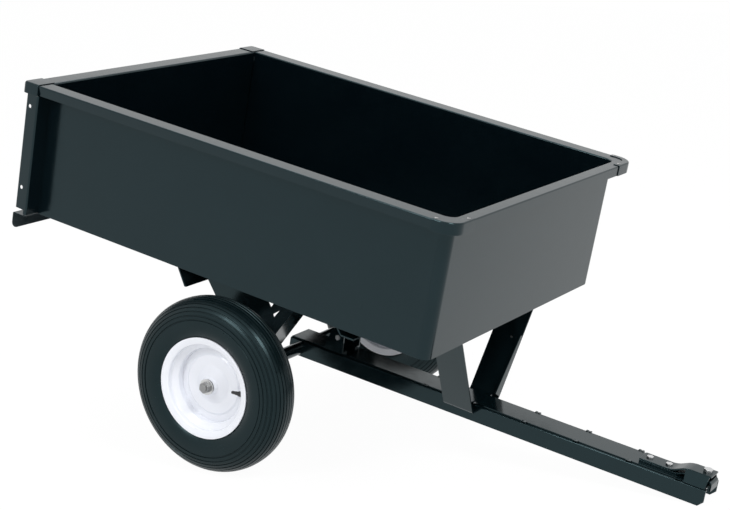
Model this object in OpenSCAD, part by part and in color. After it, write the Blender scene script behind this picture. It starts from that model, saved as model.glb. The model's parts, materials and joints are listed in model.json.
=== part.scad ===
// Tow-behind tipping dump cart: a sheet-steel box on two pneumatic wheels.
// The cart is drawn level, with the axle at the origin, the nose towards +X and the left side at +Y.
// It is then set down with its tyres and the tip of its drawbar on the ground.

/* [Box] */
// Length from the front wall to the rear ends of the side walls
bed_l = 1077; // [900:1:1300]
// Width over the side walls
bed_w = 822; // [760:1:1000]
// Height from the floor's underside to the top of the rim
bed_h = 318; // [220:1:450]
// Distance from the axle back to the rear ends of the side walls
bed_rear = 557; // [480:1:640]
// Height of the floor's underside above the tops of the tyres
bed_clear = 37; // [30:1:90]
// Nose-down lean of the box against the drawbar, in degrees
bed_lean = 0.9; // [0:0.1:2]
// Thickness of the sheet
sheet_t = 1.6; // [1.2:0.1:2.5]
// Outside radius of the two front upright corners
corner_r = 24; // [12:1:40]

/* [Rim] */
// Reach of the rim outside the side walls
rim_side = 44; // [34:1:60]
// Reach of the rim in front of the front wall
rim_front = 29; // [20:1:50]
// Reach of the rim behind the tailgate
rim_rear = 44; // [42:1:60]
// Height of the rim's turned-down lip
rim_lip = 24; // [14:1:36]
// Plan radius of the rim's front corners
rim_corner_r = 38; // [26:1:44]
// Thickness of the corner caps
cap_t = 2; // [1.5:0.1:3]
// Length of each leg of a corner cap
cap_leg = 56; // [50:1:80]
// Width of cap that lies on top of the rim
cap_cover = 15; // [10:1:24]

/* [Tailgate] */
// Depth of the upright tailgate channels
channel_d = 36; // [24:1:38]
// Width of the channels' turned-in rear edge
channel_return = 12; // [6:1:20]
// Height of the channels' lower ends above the floor's underside
channel_foot = 14; // [8:1:40]
// Radius of the holes in the channels
channel_hole_r = 4.5; // [3:0.1:6]
// Depth of the tailgate's side folds
gate_fold = 9; // [5:0.5:12]
// Height of the drip sill under the rear of the floor
sill_h = 40; // [20:1:60]
// Radius of the sill's lower corners
sill_r = 18; // [8:1:19]

/* [Drawbar] */
// Reach of the drawbar ahead of the axle
drawbar_front = 1058; // [900:1:1250]
// Reach of the drawbar behind the axle
drawbar_rear = 34; // [26:1:60]
// Outside width of the drawbar
drawbar_w = 82; // [70:1:100]
// Outside height of the drawbar
drawbar_h = 43; // [38:1:60]
// Depth of the drawbar below the axle's centre
drawbar_drop = 24; // [18:0.5:30]
// Wall thickness of the drawbar
drawbar_t = 3; // [2:0.1:5]
// Size of the cut at the lower front corners
drawbar_cut = 12; // [6:1:20]

/* [Stand] */
// Distance from the front wall back to the centre of the stand's top
stand_inset = 72; // [50:1:130]
// Width of each leg of the stand
leg_w = 77; // [50:1:110]
// Half spread of the legs at the top
stand_spread = 188; // [150:1:240]
// Distance of the legs' feet from the drawbar's flanks
leg_stand_off = 22.5; // [12:0.5:30]
// Thickness of the legs and the crossbar
leg_t = 4; // [3:0.1:6]
// Depth of the crossbar's turned-down edges
crossbar_h = 22; // [12:1:30]

/* [Axle and brackets] */
// Radius of the axle
axle_r = 12.5; // [10:0.1:16]
// Radius of the axle's wheel journals
journal_r = 8; // [6:0.1:9.5]
// Distance from the centre line to each axle bracket's web
bracket_y = 230; // [190:1:260]
// Width of the folded edges of an axle bracket
bracket_fold = 80; // [50:1:110]
// Plate thickness of the axle brackets
bracket_t = 4; // [3:0.1:6]
// Reach of a bracket's top behind the axle
bracket_rear = 238; // [160:1:260]
// Reach of a bracket's top ahead of the axle
bracket_front = 113; // [90:1:170]
// Radius of a bracket's round foot
bracket_foot = 32; // [26:1:44]

/* [Wheels] */
// Distance between the wheels' centre planes
track = 798; // [740:1:860]
// Outside radius of the tyres
tyre_r = 205; // [180:1:216]
// Width of the tyres
tyre_w = 102; // [96:1:116]
// Radius of the rims over their flanges
wheel_rim_r = 118; // [112:0.5:126]
// Width of the rims over their flanges
wheel_rim_w = 90; // [84:1:94]
// Thickness of the rims' pressed sheet
wheel_rim_t = 3; // [2:0.1:4]
// Radius of the hubs
hub_r = 19; // [16:0.5:24]
// Length of the hubs inboard of the wheel's centre plane
hub_in = 38; // [30:1:46]
// Length of the hubs outboard of the wheel's centre plane
hub_out = 26; // [18:1:32]
// Depth of a groove between tread ribs
rib_depth = 2.2; // [1:0.1:4]

/* [Hitch] */
// Half width of the hitch plates
hitch_half = 21; // [17:0.5:26]
// Thickness of the hitch plates
hitch_t = 4; // [3:0.1:6]
// Throat between the two hitch jaws
hitch_throat = 9; // [7:0.5:14]
// Rise of the lower jaw above the drawbar
jaw_rise = 7; // [5:0.5:12]
// Radius of the hitch pin
hitch_pin_r = 6.3; // [5:0.1:8]
// Length of the hitch plates behind their bend
hitch_tail = 88; // [84:1:110]
// Length of the hitch jaws ahead of their bend
hitch_nose = 84; // [78:1:96]

/* [Fits] */
// Radial clearance of a running bore
run_clear = 0.05; // [0.02:0.01:0.09]
// Radial clearance of a bolt in its hole
bolt_clear = 0.3; // [0.2:0.05:0.6]
// Gap between sheets that slide past each other
slide_gap = 0.5; // [0.3:0.1:0.8]
// Gap between a fixed cover and what it covers
seat_gap = 0.15; // [0.1:0.05:0.3]
// Radius of the frame bolts
bolt_r = 4; // [3:0.1:5]

/* [Hidden] */
$fn = 96;
overrun = 5;

paint = "#171c1d";
rubber = "#1d2224";
white = "#ecebf0";
zinc = "#b9bcbf";

// Box
bed_lift = tyre_r + bed_clear;
bed_half = bed_w / 2;
bed_front = bed_l - bed_rear;
bed_top = bed_lift + bed_h;
floor_top = bed_lift + sheet_t;
rim_half = bed_half + rim_side;
rim_nose = bed_front + rim_front;
cap_lap = 1;
channel_top = bed_top - rim_lip - cap_lap - slide_gap;
channel_back = bed_rear + channel_d;
channel_hole_shares = [0.17, 0.79];
channel_hole_x = -bed_rear - channel_d / 2 - channel_hole_r;

// Drawbar
drawbar_half = drawbar_w / 2;
drawbar_top = drawbar_h - drawbar_drop;
tip_x = drawbar_front - drawbar_cut;
rear_turn = 16;
tab_start = 342;
tab_pitch = 131;
tab_count = 5;
tab_l = 10;
tab_h = 1.5;
drawbar_hole_x = 26;
drawbar_hole_r = 6;

// Attitude on the ground: the drawbar's lower edge meets the ground at its front cut
pitch = atan2(-drawbar_drop, tip_x) + asin(tyre_r / norm([tip_x, drawbar_drop]));
bed_pitch = pitch + bed_lean;

// Fasteners
head_share = 0.7;
nut_share = 0.85;
hex_share = 1.85;
washer_share = 2.3;
washer_t = 2;

// Stand
stand_x = bed_front - stand_inset;
stand_gap = 0.5;
crossbar_top = bed_lift - stand_gap;
stand_tab = 44;
stand_foot_drop = 11;
stand_foot_z = drawbar_top + stand_x * sin(bed_lean) - stand_foot_drop;
stand_lean = 1.95;
stand_lean_z = crossbar_top - crossbar_h;
stand_tab_z = crossbar_top - 2 * leg_t;
crossbar_bolt_shares = [0.27, 0.73];
crossbar_bolt_share = 0.7;
leg_folds = [24, 9];
leg_fold_shares = [0.02, 0.63];

// Ears on the drawbar
ear_x0 = 63;
ear_x1 = 116;
ear_h = 58;
ear_t = 4;
ear_foot = 18;
ear_bolt_share = 0.66;
ear_top_shares = [0.3, 0.95];
ear_y = drawbar_half - ear_t;

// Axle brackets and cross members
bracket_top = bed_lift - bracket_t;
bracket_boss_r = 22;
bracket_bolt_shares = [0.1, 0.42, 0.85];
bracket_toe = 12;
bracket_rear_fold = 26;
window_views = [[[0.634, 0.76], [0.84, 0.809], [0.84, 0.594]],
                [[0.546, 0.839], [0.639, 0.867], [0.576, 0.81]]];
rail_t = 3.5;
rail_flange = 30;
outrigger_x = -172;
outrigger_h = 42;
outrigger_slant = 25;
outrigger_foot = 5;
front_rail_h = 18;
front_rail_slant = 12;
front_rail_foot = 34;
front_rail_l = rail_flange + front_rail_slant + front_rail_foot;
front_rail_room = stand_x - leg_w / 2 - slide_gap - leg_t - bracket_front - front_rail_l;
front_rail_share = 0.685;
front_rail_x = bracket_front + front_rail_room * front_rail_share;
rail_end_gap = 6;

// Wheels
bead_h = 14;
well_drop = 28;
seat_r = wheel_rim_r - bead_h;
well_r = wheel_rim_r - well_drop;
seat_w = 15;
well_w = 38;
flange_edge = 4;
bead_gap = 0.3;
tyre_wall = 9;
tyre_mid = (tyre_r + seat_r) / 2;
tyre_flat_power = 2.7;
tread_power = 2.3;
cavity_h = (tyre_r - seat_r) / 2 - tyre_wall;
cavity_w = tyre_w / 2 - tyre_wall;
cavity_steps = 48;
rib_shares = [-0.92, -0.78, -0.58, -0.38, -0.18, 0, 0.18, 0.38, 0.58, 0.78, 0.92];
rib_half = 1.5;
disc_y = 3;
disc_step_r = 72;
disc_step = 3;
disc_cone_r = 44;
boss_rise = 12;
hub_gap = 0.2;
bush_flange_inset = 2;
bush_flange_r = hub_r - bush_flange_inset;
bush_flange_t = 3;
bush_t = 3.5;
bush_r = journal_r + bush_t;
bush_l = 20;
side_play = 0.4;
wheel_y = track / 2;
shoulder_y = wheel_y - hub_in - bush_flange_t - washer_t - 2 * side_play;
nut_y = wheel_y + hub_out + bush_flange_t + washer_t + 2 * side_play;
axle_nut_h = 10;
axle_end = nut_y + axle_nut_h + washer_t;
valve_r = 4.6;
valve_l = 34;
valve_base_r = 6.5;
valve_base_l = 16;
valve_cap_r = 3.6;
valve_cap_l = 9;
valve_y = 26;
valve_angle = 8;
valve_foot_r = seat_r - wheel_rim_t;

// Hitch
hitch_bend_x = drawbar_front + hitch_t - hitch_nose;
jaw_z = drawbar_top + jaw_rise;
roof_z = jaw_z + hitch_t + hitch_throat;
ramp_l = 20;
nose_drop = 22;
hitch_bolt_shares = [0.28, 0.8];
hitch_bolt_r = 5;
pin_share = 0.76;
pin_x = hitch_bend_x + hitch_nose * pin_share;
pin_head_r = 11;
pin_head_h = 7;
pin_tail = 14;
cheek_share = 0.86;

// Place of the origin: under the middle of the cart's length, on the ground
function ahead(p, a) = p[0] * cos(a) + p[1] * sin(a);
nose_reach = max(ahead([hitch_bend_x + hitch_nose, jaw_z + hitch_t], pitch),
                 ahead([hitch_bend_x + hitch_nose - hitch_t, roof_z + hitch_t], pitch));
tail_reach = min(ahead([-channel_back - sheet_t, bed_lift - sill_h], bed_pitch),
                 ahead([-bed_rear - rim_rear - cap_t - seat_gap, bed_top - rim_lip - cap_lap], bed_pitch));
origin_x = (nose_reach + tail_reach) / 2;

// Places the level cart on the ground
module cart() {
    translate([-origin_x, 0, tyre_r]) rotate([0, pitch, 0]) children();
}

// Places what leans with the box
module box_frame() {
    cart() rotate([0, bed_lean, 0]) children();
}

// Mirrors a left-hand piece to the right
module hand(side) {
    if (side > 0) children();
    else mirror([0, 1, 0]) children();
}

// Extrudes a profile of (y, z) along X
module along_x(x0, x1) {
    translate([x0, 0, 0]) rotate([90, 0, 90]) linear_extrude(x1 - x0) children();
}

// Extrudes a profile of (x, z) along Y
module along_y(y0, y1) {
    translate([0, y1, 0]) rotate([90, 0, 0]) linear_extrude(y1 - y0) children();
}

// Extrudes a plan of (x, y) along Z
module along_z(z0, z1) {
    translate([0, 0, z0]) linear_extrude(z1 - z0) children();
}

module rod_y(r, y0, y1) {
    translate([0, y0, 0]) rotate([-90, 0, 0]) cylinder(r = r, h = y1 - y0);
}

module block(x0, x1, y0, y1, z0, z1) {
    translate([x0, y0, z0]) cube([x1 - x0, y1 - y0, z1 - z0]);
}

// Outline of a folded sheet: a path thickened to its left by t, or to its right where t is negative
function left_of(p, q) = [p[1] - q[1], q[0] - p[0]] / norm(q - p);
function bend(a, b) = (a + b) / (1 + a * b);
function edge(pts, i) =
    i == 0 ? left_of(pts[0], pts[1])
    : i == len(pts) - 1 ? left_of(pts[i - 1], pts[i])
    : bend(left_of(pts[i - 1], pts[i]), left_of(pts[i], pts[i + 1]));
function sheet(pts, t) = concat(pts, [for (i = [len(pts) - 1 : -1 : 0]) pts[i] + t * edge(pts, i)]);
function strip(p, q, a, b) = let (n = left_of(p, q)) [p + a * n, q + a * n, q + b * n, p + b * n];
function between(p, q, share) = p + (q - p) * share;

// Bolt along Z: its head sits on z = 0 and its nut under z = -grip
module bolt(r, grip) {
    nut_h = r * nut_share;
    length = grip + nut_h + r * head_share;
    cylinder(r = r * hex_share, h = r * head_share, $fn = 6);
    translate([0, 0, -length]) cylinder(r = r, h = length);
    translate([0, 0, -grip - nut_h]) cylinder(r = r * hex_share, h = nut_h, $fn = 6);
}

// Hole along Z for a bolt of radius r, reaching half its depth either way
module bolt_hole(r, depth) {
    cylinder(r = r + bolt_clear, h = depth, center = true);
}

module ring(r_out, r_in, h) {
    difference() {
        cylinder(r = r_out, h = h);
        translate([0, 0, -overrun]) cylinder(r = r_in, h = h + 2 * overrun);
    }
}

// Plan of the box, open to the rear, with round front corners
module plan(front, half, r, rear) {
    translate([-rear, -half]) square([front - r + rear, 2 * half]);
    translate([-rear, r - half]) square([front + rear, 2 * (half - r)]);
    for (s = [-1, 1]) translate([front - r, s * (half - r)]) circle(r);
}

module wall_plan() {
    plan(bed_front, bed_half, corner_r, bed_rear);
}

module wall_inside() {
    plan(bed_front - sheet_t, bed_half - sheet_t, corner_r - sheet_t, bed_rear + overrun);
}

module rim_plan(grow = 0) {
    plan(rim_nose + grow, rim_half + grow, rim_corner_r + grow, bed_rear + overrun);
}

// Box

module bed_floor() {
    color(paint) box_frame() {
        along_z(bed_lift, floor_top) {
            plan(bed_front - sheet_t, bed_half - sheet_t, corner_r - sheet_t, bed_rear);
            translate([-channel_back, -rim_half]) square([channel_d, 2 * rim_half]);
        }
        along_x(-channel_back - sheet_t, -channel_back) {
            translate([-rim_half, bed_lift + sill_r - sill_h])
                square([2 * rim_half, sill_h - sill_r + sheet_t]);
            translate([sill_r - rim_half, bed_lift - sill_h]) square([2 * (rim_half - sill_r), sill_h]);
            for (s = [-1, 1]) translate([s * (rim_half - sill_r), bed_lift - sill_h + sill_r]) circle(sill_r);
        }
    }
}

module side_panel(side) {
    wall = [[bed_half, bed_lift], [bed_half, bed_top - sheet_t], [rim_half - sheet_t, bed_top - sheet_t],
            [rim_half - sheet_t, bed_top - rim_lip]];
    channel = [[-bed_rear, bed_half - sheet_t], [-bed_rear, rim_half - sheet_t],
               [sheet_t - channel_back, rim_half - sheet_t],
               [sheet_t - channel_back, rim_half - channel_return]];
    color(paint) box_frame() hand(side) difference() {
        union() {
            along_x(-bed_rear, bed_front - corner_r) polygon(sheet(wall, sheet_t));
            along_z(bed_lift + channel_foot, channel_top) polygon(sheet(channel, -sheet_t));
        }
        for (share = channel_hole_shares)
            translate([channel_hole_x, 0, bed_top - bed_h * share])
                rod_y(channel_hole_r, rim_half - sheet_t - overrun, rim_half + overrun);
    }
}

module left_side_panel() {
    side_panel(1);
}

module right_side_panel() {
    side_panel(-1);
}

// The front wall turns both corners and carries the rim round them
module front_panel() {
    color(paint) box_frame() difference() {
        union() {
            along_z(bed_lift, bed_top - sheet_t) difference() {
                wall_plan();
                wall_inside();
            }
            along_z(bed_top - sheet_t, bed_top) difference() {
                rim_plan();
                wall_inside();
            }
            along_z(bed_top - rim_lip, bed_top - sheet_t) difference() {
                rim_plan();
                rim_plan(-sheet_t);
            }
        }
        block(-bed_l, bed_front - corner_r, -bed_w, bed_w, 0, 2 * bed_top);
    }
}

module front_cap(side) {
    color(paint) box_frame() hand(side) intersection() {
        union() {
            along_z(bed_top - rim_lip - cap_lap, bed_top + cap_t) difference() {
                rim_plan(cap_t + seat_gap);
                rim_plan(seat_gap);
            }
            along_z(bed_top, bed_top + cap_t) difference() {
                rim_plan(cap_t + seat_gap);
                rim_plan(-cap_cover);
            }
        }
        block(rim_nose - cap_leg, bed_l, rim_half - cap_leg, bed_w, 0, 2 * bed_top);
    }
}

module front_left_cap() {
    front_cap(1);
}

module front_right_cap() {
    front_cap(-1);
}

// Rivets that hold the front caps on the rim
module cap_rivets() {
    inset = cap_cover / 2;
    color(zinc) box_frame() for (s = [-1, 1]) {
        translate([rim_nose - cap_leg + inset, s * (rim_half - inset), bed_top + cap_t])
            cylinder(r = bolt_r, h = bolt_r * head_share / 2);
        translate([rim_nose - inset, s * (rim_half - cap_leg + inset), bed_top + cap_t])
            cylinder(r = bolt_r, h = bolt_r * head_share / 2);
    }
}

// Axle brackets: a web with folded edges and two windows, a floor flange and a boss on the axle
function leg_front(share) = between([-bracket_toe, 0], [bracket_front, bracket_top], share);
function leg_back(share) = between([-bracket_foot, 0], [-bracket_rear, bracket_top], share);

module axle_bracket(side) {
    web_y = bracket_y - bracket_t;
    fold_y = bracket_y - bracket_fold;
    color(paint) box_frame() hand(side) difference() {
        union() {
            along_y(web_y, bracket_y) difference() {
                union() {
                    polygon([leg_front(0), leg_front(1), leg_back(1), leg_back(0)]);
                    circle(bracket_foot);
                }
                for (view = window_views)
                    polygon([for (p = view) between(leg_back(p[0]), leg_front(p[0]), p[1])]);
            }
            along_y(fold_y, bracket_y) polygon(sheet([leg_front(0), leg_front(1)], bracket_t));
            along_y(bracket_y - bracket_rear_fold, bracket_y)
                polygon(sheet([leg_back(0), leg_back(1)], -bracket_t));
            block(-bracket_rear, bracket_front, fold_y, bracket_y, bracket_top, bed_lift);
            rod_y(bracket_boss_r, fold_y, bracket_y);
        }
        rod_y(axle_r + run_clear, fold_y - overrun, bracket_y + overrun);
        bracket_bolt_places() bolt_hole(bolt_r, 4 * bracket_t);
    }
}

// Bolts through the floor flange of a bracket, in the frame of the left one
module bracket_bolt_places() {
    length = bracket_rear + bracket_front;
    for (share = bracket_bolt_shares)
        translate([length * share - bracket_rear, bracket_y - bracket_fold / 2, bracket_top]) children();
}

module left_axle_bracket() {
    axle_bracket(1);
}

module right_axle_bracket() {
    axle_bracket(-1);
}

// Heads under the floor flange of each bracket
module bracket_bolts() {
    head_h = bolt_r * head_share;
    color(zinc) box_frame() for (s = [-1, 1]) hand(s) bracket_bolt_places() {
        cylinder(r = bolt_r, h = bracket_t);
        translate([0, 0, -head_h]) cylinder(r = bolt_r * hex_share, h = head_h, $fn = 6);
    }
}

// Slanted channel under the floor: a flange against it, a slanted web and a foot
function rail(x, h, slant, foot) =
    [[x, bed_lift - rail_t], [x + rail_flange, bed_lift - rail_t],
     [x + rail_flange + slant, bed_lift - h], [x + rail_flange + slant + foot, bed_lift - h]];

module outrigger(side) {
    color(paint) box_frame() hand(side)
        along_y(bracket_y + seat_gap, bed_half - sheet_t - rail_end_gap)
            polygon(sheet(rail(outrigger_x, outrigger_h, outrigger_slant, outrigger_foot), rail_t));
}

module left_outrigger() {
    outrigger(1);
}

module right_outrigger() {
    outrigger(-1);
}

module front_cross_member() {
    reach = bed_half - sheet_t - rail_end_gap;
    color(paint) box_frame() along_y(-reach, reach)
        polygon(sheet(rail(front_rail_x, front_rail_h, front_rail_slant, front_rail_foot), rail_t));
}

// Tailgate

module tailgate() {
    face_x = -bed_rear - slide_gap;
    gate_half = rim_half - sheet_t - slide_gap;
    skin = [[face_x - gate_fold, gate_half], [face_x, gate_half], [face_x, -gate_half],
            [face_x - gate_fold, -gate_half]];
    back_x = -bed_rear - rim_rear;
    color(paint) box_frame() {
        along_z(floor_top + slide_gap, bed_top) polygon(sheet(skin, -sheet_t));
        block(back_x, face_x, -rim_half, rim_half, bed_top - sheet_t, bed_top);
        block(back_x, back_x + sheet_t, -rim_half, rim_half, bed_top - rim_lip, bed_top);
    }
}

module rear_cap(side) {
    back = bed_rear + rim_rear + seat_gap;
    out = rim_half + seat_gap;
    front = -bed_rear - cap_lap;
    color(paint) box_frame() hand(side) difference() {
        along_z(bed_top - rim_lip - cap_lap, bed_top + cap_t) {
            translate([-back - cap_t, rim_half - cap_leg]) square([back + cap_t + front, cap_leg + seat_gap]);
            translate([-back, rim_half - cap_leg]) square([back + front, cap_leg + seat_gap + cap_t]);
            translate([-back, out]) circle(cap_t);
        }
        block(-back, bed_rear, 0, out, 0, bed_top);
    }
}

module rear_left_cap() {
    rear_cap(1);
}

module rear_right_cap() {
    rear_cap(-1);
}

// Drawbar and hitch

module drawbar() {
    web = [[-drawbar_rear, -drawbar_drop], [tip_x, -drawbar_drop],
           [drawbar_front, drawbar_cut - drawbar_drop], [drawbar_front, drawbar_top],
           [-drawbar_rear, drawbar_top]];
    color(paint) cart() difference() {
        union() {
            block(-drawbar_rear, drawbar_front - hitch_t, -drawbar_half, drawbar_half,
                  drawbar_top - drawbar_t, drawbar_top);
            for (s = [-1, 1]) hand(s) along_y(drawbar_half - drawbar_t, drawbar_half) polygon(web);
            block(-drawbar_rear, drawbar_t - drawbar_rear, -drawbar_half, drawbar_half,
                  drawbar_top - rear_turn, drawbar_top);
            for (s = [-1, 1]) hand(s) for (i = [0 : tab_count - 1])
                block(tab_start + tab_pitch * i, tab_start + tab_pitch * i + tab_l, drawbar_half - drawbar_t,
                      drawbar_half, drawbar_top - tab_h, drawbar_top + tab_h);
        }
        rod_y(axle_r + seat_gap, -drawbar_w, drawbar_w);
        hitch_bolt_places() bolt_hole(hitch_bolt_r, drawbar_h);
        translate([pin_x, 0, drawbar_top]) bolt_hole(hitch_pin_r, drawbar_h);
        translate([drawbar_hole_x, 0, drawbar_top]) bolt_hole(drawbar_hole_r, drawbar_top);
    }
}

module hitch_bolt_places() {
    for (share = hitch_bolt_shares)
        translate([hitch_bend_x - hitch_tail * share, 0, drawbar_top]) children();
}

module axle() {
    color(paint) cart() {
        rod_y(axle_r, -shoulder_y, shoulder_y);
        rod_y(journal_r, -axle_end, axle_end);
    }
}

// Tubes that keep the drawbar centred between the axle brackets
module axle_spacers() {
    length = bracket_y - bracket_fold - slide_gap - drawbar_half;
    color(paint) cart() for (s = [-1, 1]) hand(s)
        translate([0, drawbar_half, 0]) rotate([-90, 0, 0])
            ring(axle_r + drawbar_t, axle_r + seat_gap, length);
}

// Side view of a leg, or of a strip along one of its edges: upright at the crossbar, leaning forward below it
module leg_view(x0, x1) {
    lean = stand_lean_z * tan(stand_lean);
    along_y(0, bed_half)
        polygon([[x0 + lean, 0], [x1 + lean, 0], [x1, stand_lean_z], [x1, bed_lift], [x0, bed_lift],
                 [x0, stand_lean_z]]);
}

// Plate that stands off the drawbar, turned in at its foot and under the crossbar, with one folded edge:
// the front edge on the left leg, the rear edge on the right leg
module stand_leg(side) {
    foot_at = [drawbar_half + leg_stand_off, stand_foot_z];
    top_at = [stand_spread, stand_tab_z];
    path = [[drawbar_half, stand_foot_z], foot_at, top_at, [stand_spread - stand_tab, stand_tab_z]];
    low = between(foot_at, top_at, leg_fold_shares[0]);
    high = between(foot_at, top_at, leg_fold_shares[1]);
    inward = left_of(low, high);
    x0 = stand_x - leg_w / 2;
    x1 = stand_x + leg_w / 2;
    fold_x = side > 0 ? x1 - leg_t : x0;
    color(paint) box_frame() hand(side) difference() {
        union() {
            intersection() {
                along_x(0, bed_front) polygon(sheet(path, -leg_t));
                leg_view(x0, x1);
            }
            intersection() {
                along_x(0, bed_front)
                    polygon([low - leg_t * inward, high - leg_t * inward, high + leg_folds[1] * inward,
                             low + leg_folds[0] * inward]);
                leg_view(fold_x, fold_x + leg_t);
            }
        }
        crossbar_bolt_places() bolt_hole(bolt_r, 6 * leg_t);
    }
}

module left_stand_leg() {
    stand_leg(1);
}

module right_stand_leg() {
    stand_leg(-1);
}

module stand_crossbar() {
    half = leg_w / 2 + slide_gap;
    profile = [[stand_x - half, crossbar_top - crossbar_h], [stand_x - half, crossbar_top - leg_t],
               [stand_x + half, crossbar_top - leg_t], [stand_x + half, crossbar_top - crossbar_h]];
    color(paint) box_frame() difference() {
        along_y(-stand_spread, stand_spread) polygon(sheet(profile, leg_t));
        crossbar_bolt_places() bolt_hole(bolt_r, 6 * leg_t);
    }
}

// Middle of the legs' top tabs, on the crossbar's underside
module crossbar_bolt_places() {
    y = stand_spread - stand_tab * crossbar_bolt_share;
    for (s = [-1, 1]) hand(s) for (share = crossbar_bolt_shares)
        translate([stand_x + leg_w * (share - 1 / 2), y, crossbar_top - leg_t]) children();
}

// Heads under the legs' tabs
module crossbar_bolts() {
    head_h = bolt_r * head_share;
    color(zinc) box_frame() crossbar_bolt_places() {
        translate([0, 0, -leg_t]) cylinder(r = bolt_r, h = 2 * leg_t);
        translate([0, 0, -leg_t - head_h]) cylinder(r = bolt_r * hex_share, h = head_h, $fn = 6);
    }
}

// Upright ears on the drawbar, just ahead of the axle, and the bolt that ties them
module drawbar_ears() {
    z0 = drawbar_top;
    z1 = drawbar_top + ear_h;
    span = ear_x1 - ear_x0;
    outline = [[ear_x0, z0], [ear_x1, z0], [ear_x0 + span * ear_top_shares[1], z1],
               [ear_x0 + span * ear_top_shares[0], z1]];
    color(paint) cart() for (s = [-1, 1]) hand(s) difference() {
        union() {
            along_y(ear_y, ear_y + ear_t) polygon(outline);
            block(ear_x0, ear_x1, ear_y - ear_foot, ear_y, z0, z0 + ear_t);
        }
        ear_bolt_place() rod_y(bolt_r + bolt_clear, 0, drawbar_w);
    }
}

module ear_bolt_place() {
    x = ear_x0 + (ear_x1 - ear_x0) * ear_bolt_share;
    translate([x, 0, drawbar_top + ear_h * ear_bolt_share]) children();
}

module ear_bolt() {
    color(zinc) cart() ear_bolt_place() translate([0, -ear_y - ear_t, 0]) rotate([90, 0, 0])
        bolt(bolt_r, 2 * (ear_y + ear_t));
}

// Lower jaw: a strap on the drawbar that steps up and turns down at its nose
module hitch_lower_plate() {
    x0 = hitch_bend_x - hitch_tail;
    x1 = hitch_bend_x + hitch_nose;
    path = [[x0, drawbar_top], [hitch_bend_x, drawbar_top], [hitch_bend_x + ramp_l, jaw_z],
            [x1 - hitch_t, jaw_z], [x1 - hitch_t, jaw_z + hitch_t - nose_drop]];
    color(paint) cart() difference() {
        along_y(-hitch_half, hitch_half) polygon(sheet(path, hitch_t));
        hitch_bolt_places() bolt_hole(hitch_bolt_r, drawbar_h);
        translate([pin_x, 0, jaw_z]) bolt_hole(hitch_pin_r, hitch_throat);
    }
}

// Upper jaw: a strap on the lower one that steps up to a roof with slanted cheeks
module hitch_upper_plate() {
    x0 = hitch_bend_x - hitch_tail;
    x1 = hitch_bend_x + hitch_nose - hitch_t;
    seat = drawbar_top + hitch_t;
    bend_x = hitch_bend_x - hitch_t;
    path = [[x0, seat], [bend_x, seat], [bend_x + ramp_l, roof_z], [x1, roof_z]];
    cheek = [[drawbar_half - seat_gap, drawbar_top], [hitch_half, roof_z], [0, roof_z]];
    color(paint) cart() difference() {
        union() {
            along_y(-hitch_half, hitch_half) polygon(sheet(path, hitch_t));
            for (s = [-1, 1]) hand(s)
                along_x(hitch_bend_x + ramp_l, hitch_bend_x + hitch_nose * cheek_share)
                    polygon(sheet(cheek, -hitch_t));
        }
        hitch_bolt_places() bolt_hole(hitch_bolt_r, drawbar_h);
        translate([pin_x, 0, roof_z]) bolt_hole(hitch_pin_r, hitch_throat + hitch_t);
    }
}

module hitch_bolts() {
    color(zinc) cart() hitch_bolt_places()
        translate([0, 0, 2 * hitch_t]) bolt(hitch_bolt_r, 2 * hitch_t + drawbar_t);
}

// Hitch pin with a flat head, free to be drawn up out of the jaws
module hitch_pin() {
    foot = drawbar_top - drawbar_t - pin_tail;
    seat = roof_z + hitch_t;
    color(zinc) cart() translate([pin_x, 0, 0]) {
        translate([0, 0, foot]) cylinder(r = hitch_pin_r, h = seat - foot);
        translate([0, 0, seat]) cylinder(r = pin_head_r, h = pin_head_h, $fn = 6);
    }
}

// Wheels: profiles of (radius, distance outboard of the wheel's centre plane)

module spun(side) {
    cart() hand(side) translate([0, wheel_y, 0]) rotate([-90, 0, 0]) rotate_extrude() children();
}

function swell(share, power) = pow(max(0, 1 - pow(abs(share), power)), 1 / power);
function tyre_half_w(r) =
    let (share = (r - tyre_mid) / (tyre_r - tyre_mid))
    tyre_w / 2 * swell(share, share < 0 ? tyre_flat_power : tread_power);
function crown_r(y) = tyre_mid + (tyre_r - tyre_mid) * swell(2 * y / tyre_w, tread_power);
tyre_steps = 24;
tyre_foot_r = wheel_rim_r + bead_gap;

// Half of the tyre's outline from its bead to the crown, at even steps round the section
function tyre_arc(i) =
    let (a0 = acos((tyre_foot_r - tyre_mid) / (tyre_r - tyre_mid)), a = a0 * (1 - i / tyre_steps),
         r = tyre_mid + (tyre_r - tyre_mid) * cos(a))
    [r, tyre_half_w(r)];
tyre_side = [for (i = [0 : tyre_steps]) tyre_arc(i)];
bead_half = wheel_rim_w / 2 - wheel_rim_t - bead_gap;

module tyre(side) {
    bead_toe = [seat_r + bead_gap, bead_half - flange_edge];
    outline = concat([bead_toe, [tyre_foot_r, bead_half]], tyre_side);
    full = concat(outline, [for (i = [len(outline) - 2 : -1 : 0]) [outline[i][0], -outline[i][1]]]);
    cavity = [for (i = [0 : cavity_steps - 1]) let (a = 360 * i / cavity_steps)
              [tyre_mid + cavity_h * cos(a), cavity_w * sin(a)]];
    color(rubber) spun(side) difference() {
        polygon(full);
        polygon(cavity);
        translate([0, -bead_half + tyre_wall]) square([tyre_mid, 2 * (bead_half - tyre_wall)]);
        for (share = rib_shares) {
            y = share * tyre_w / 2;
            translate([crown_r(y) - rib_depth, y - rib_half]) square([2 * rib_depth, 2 * rib_half]);
        }
    }
}

module left_tyre() {
    tyre(1);
}

module right_tyre() {
    tyre(-1);
}

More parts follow.
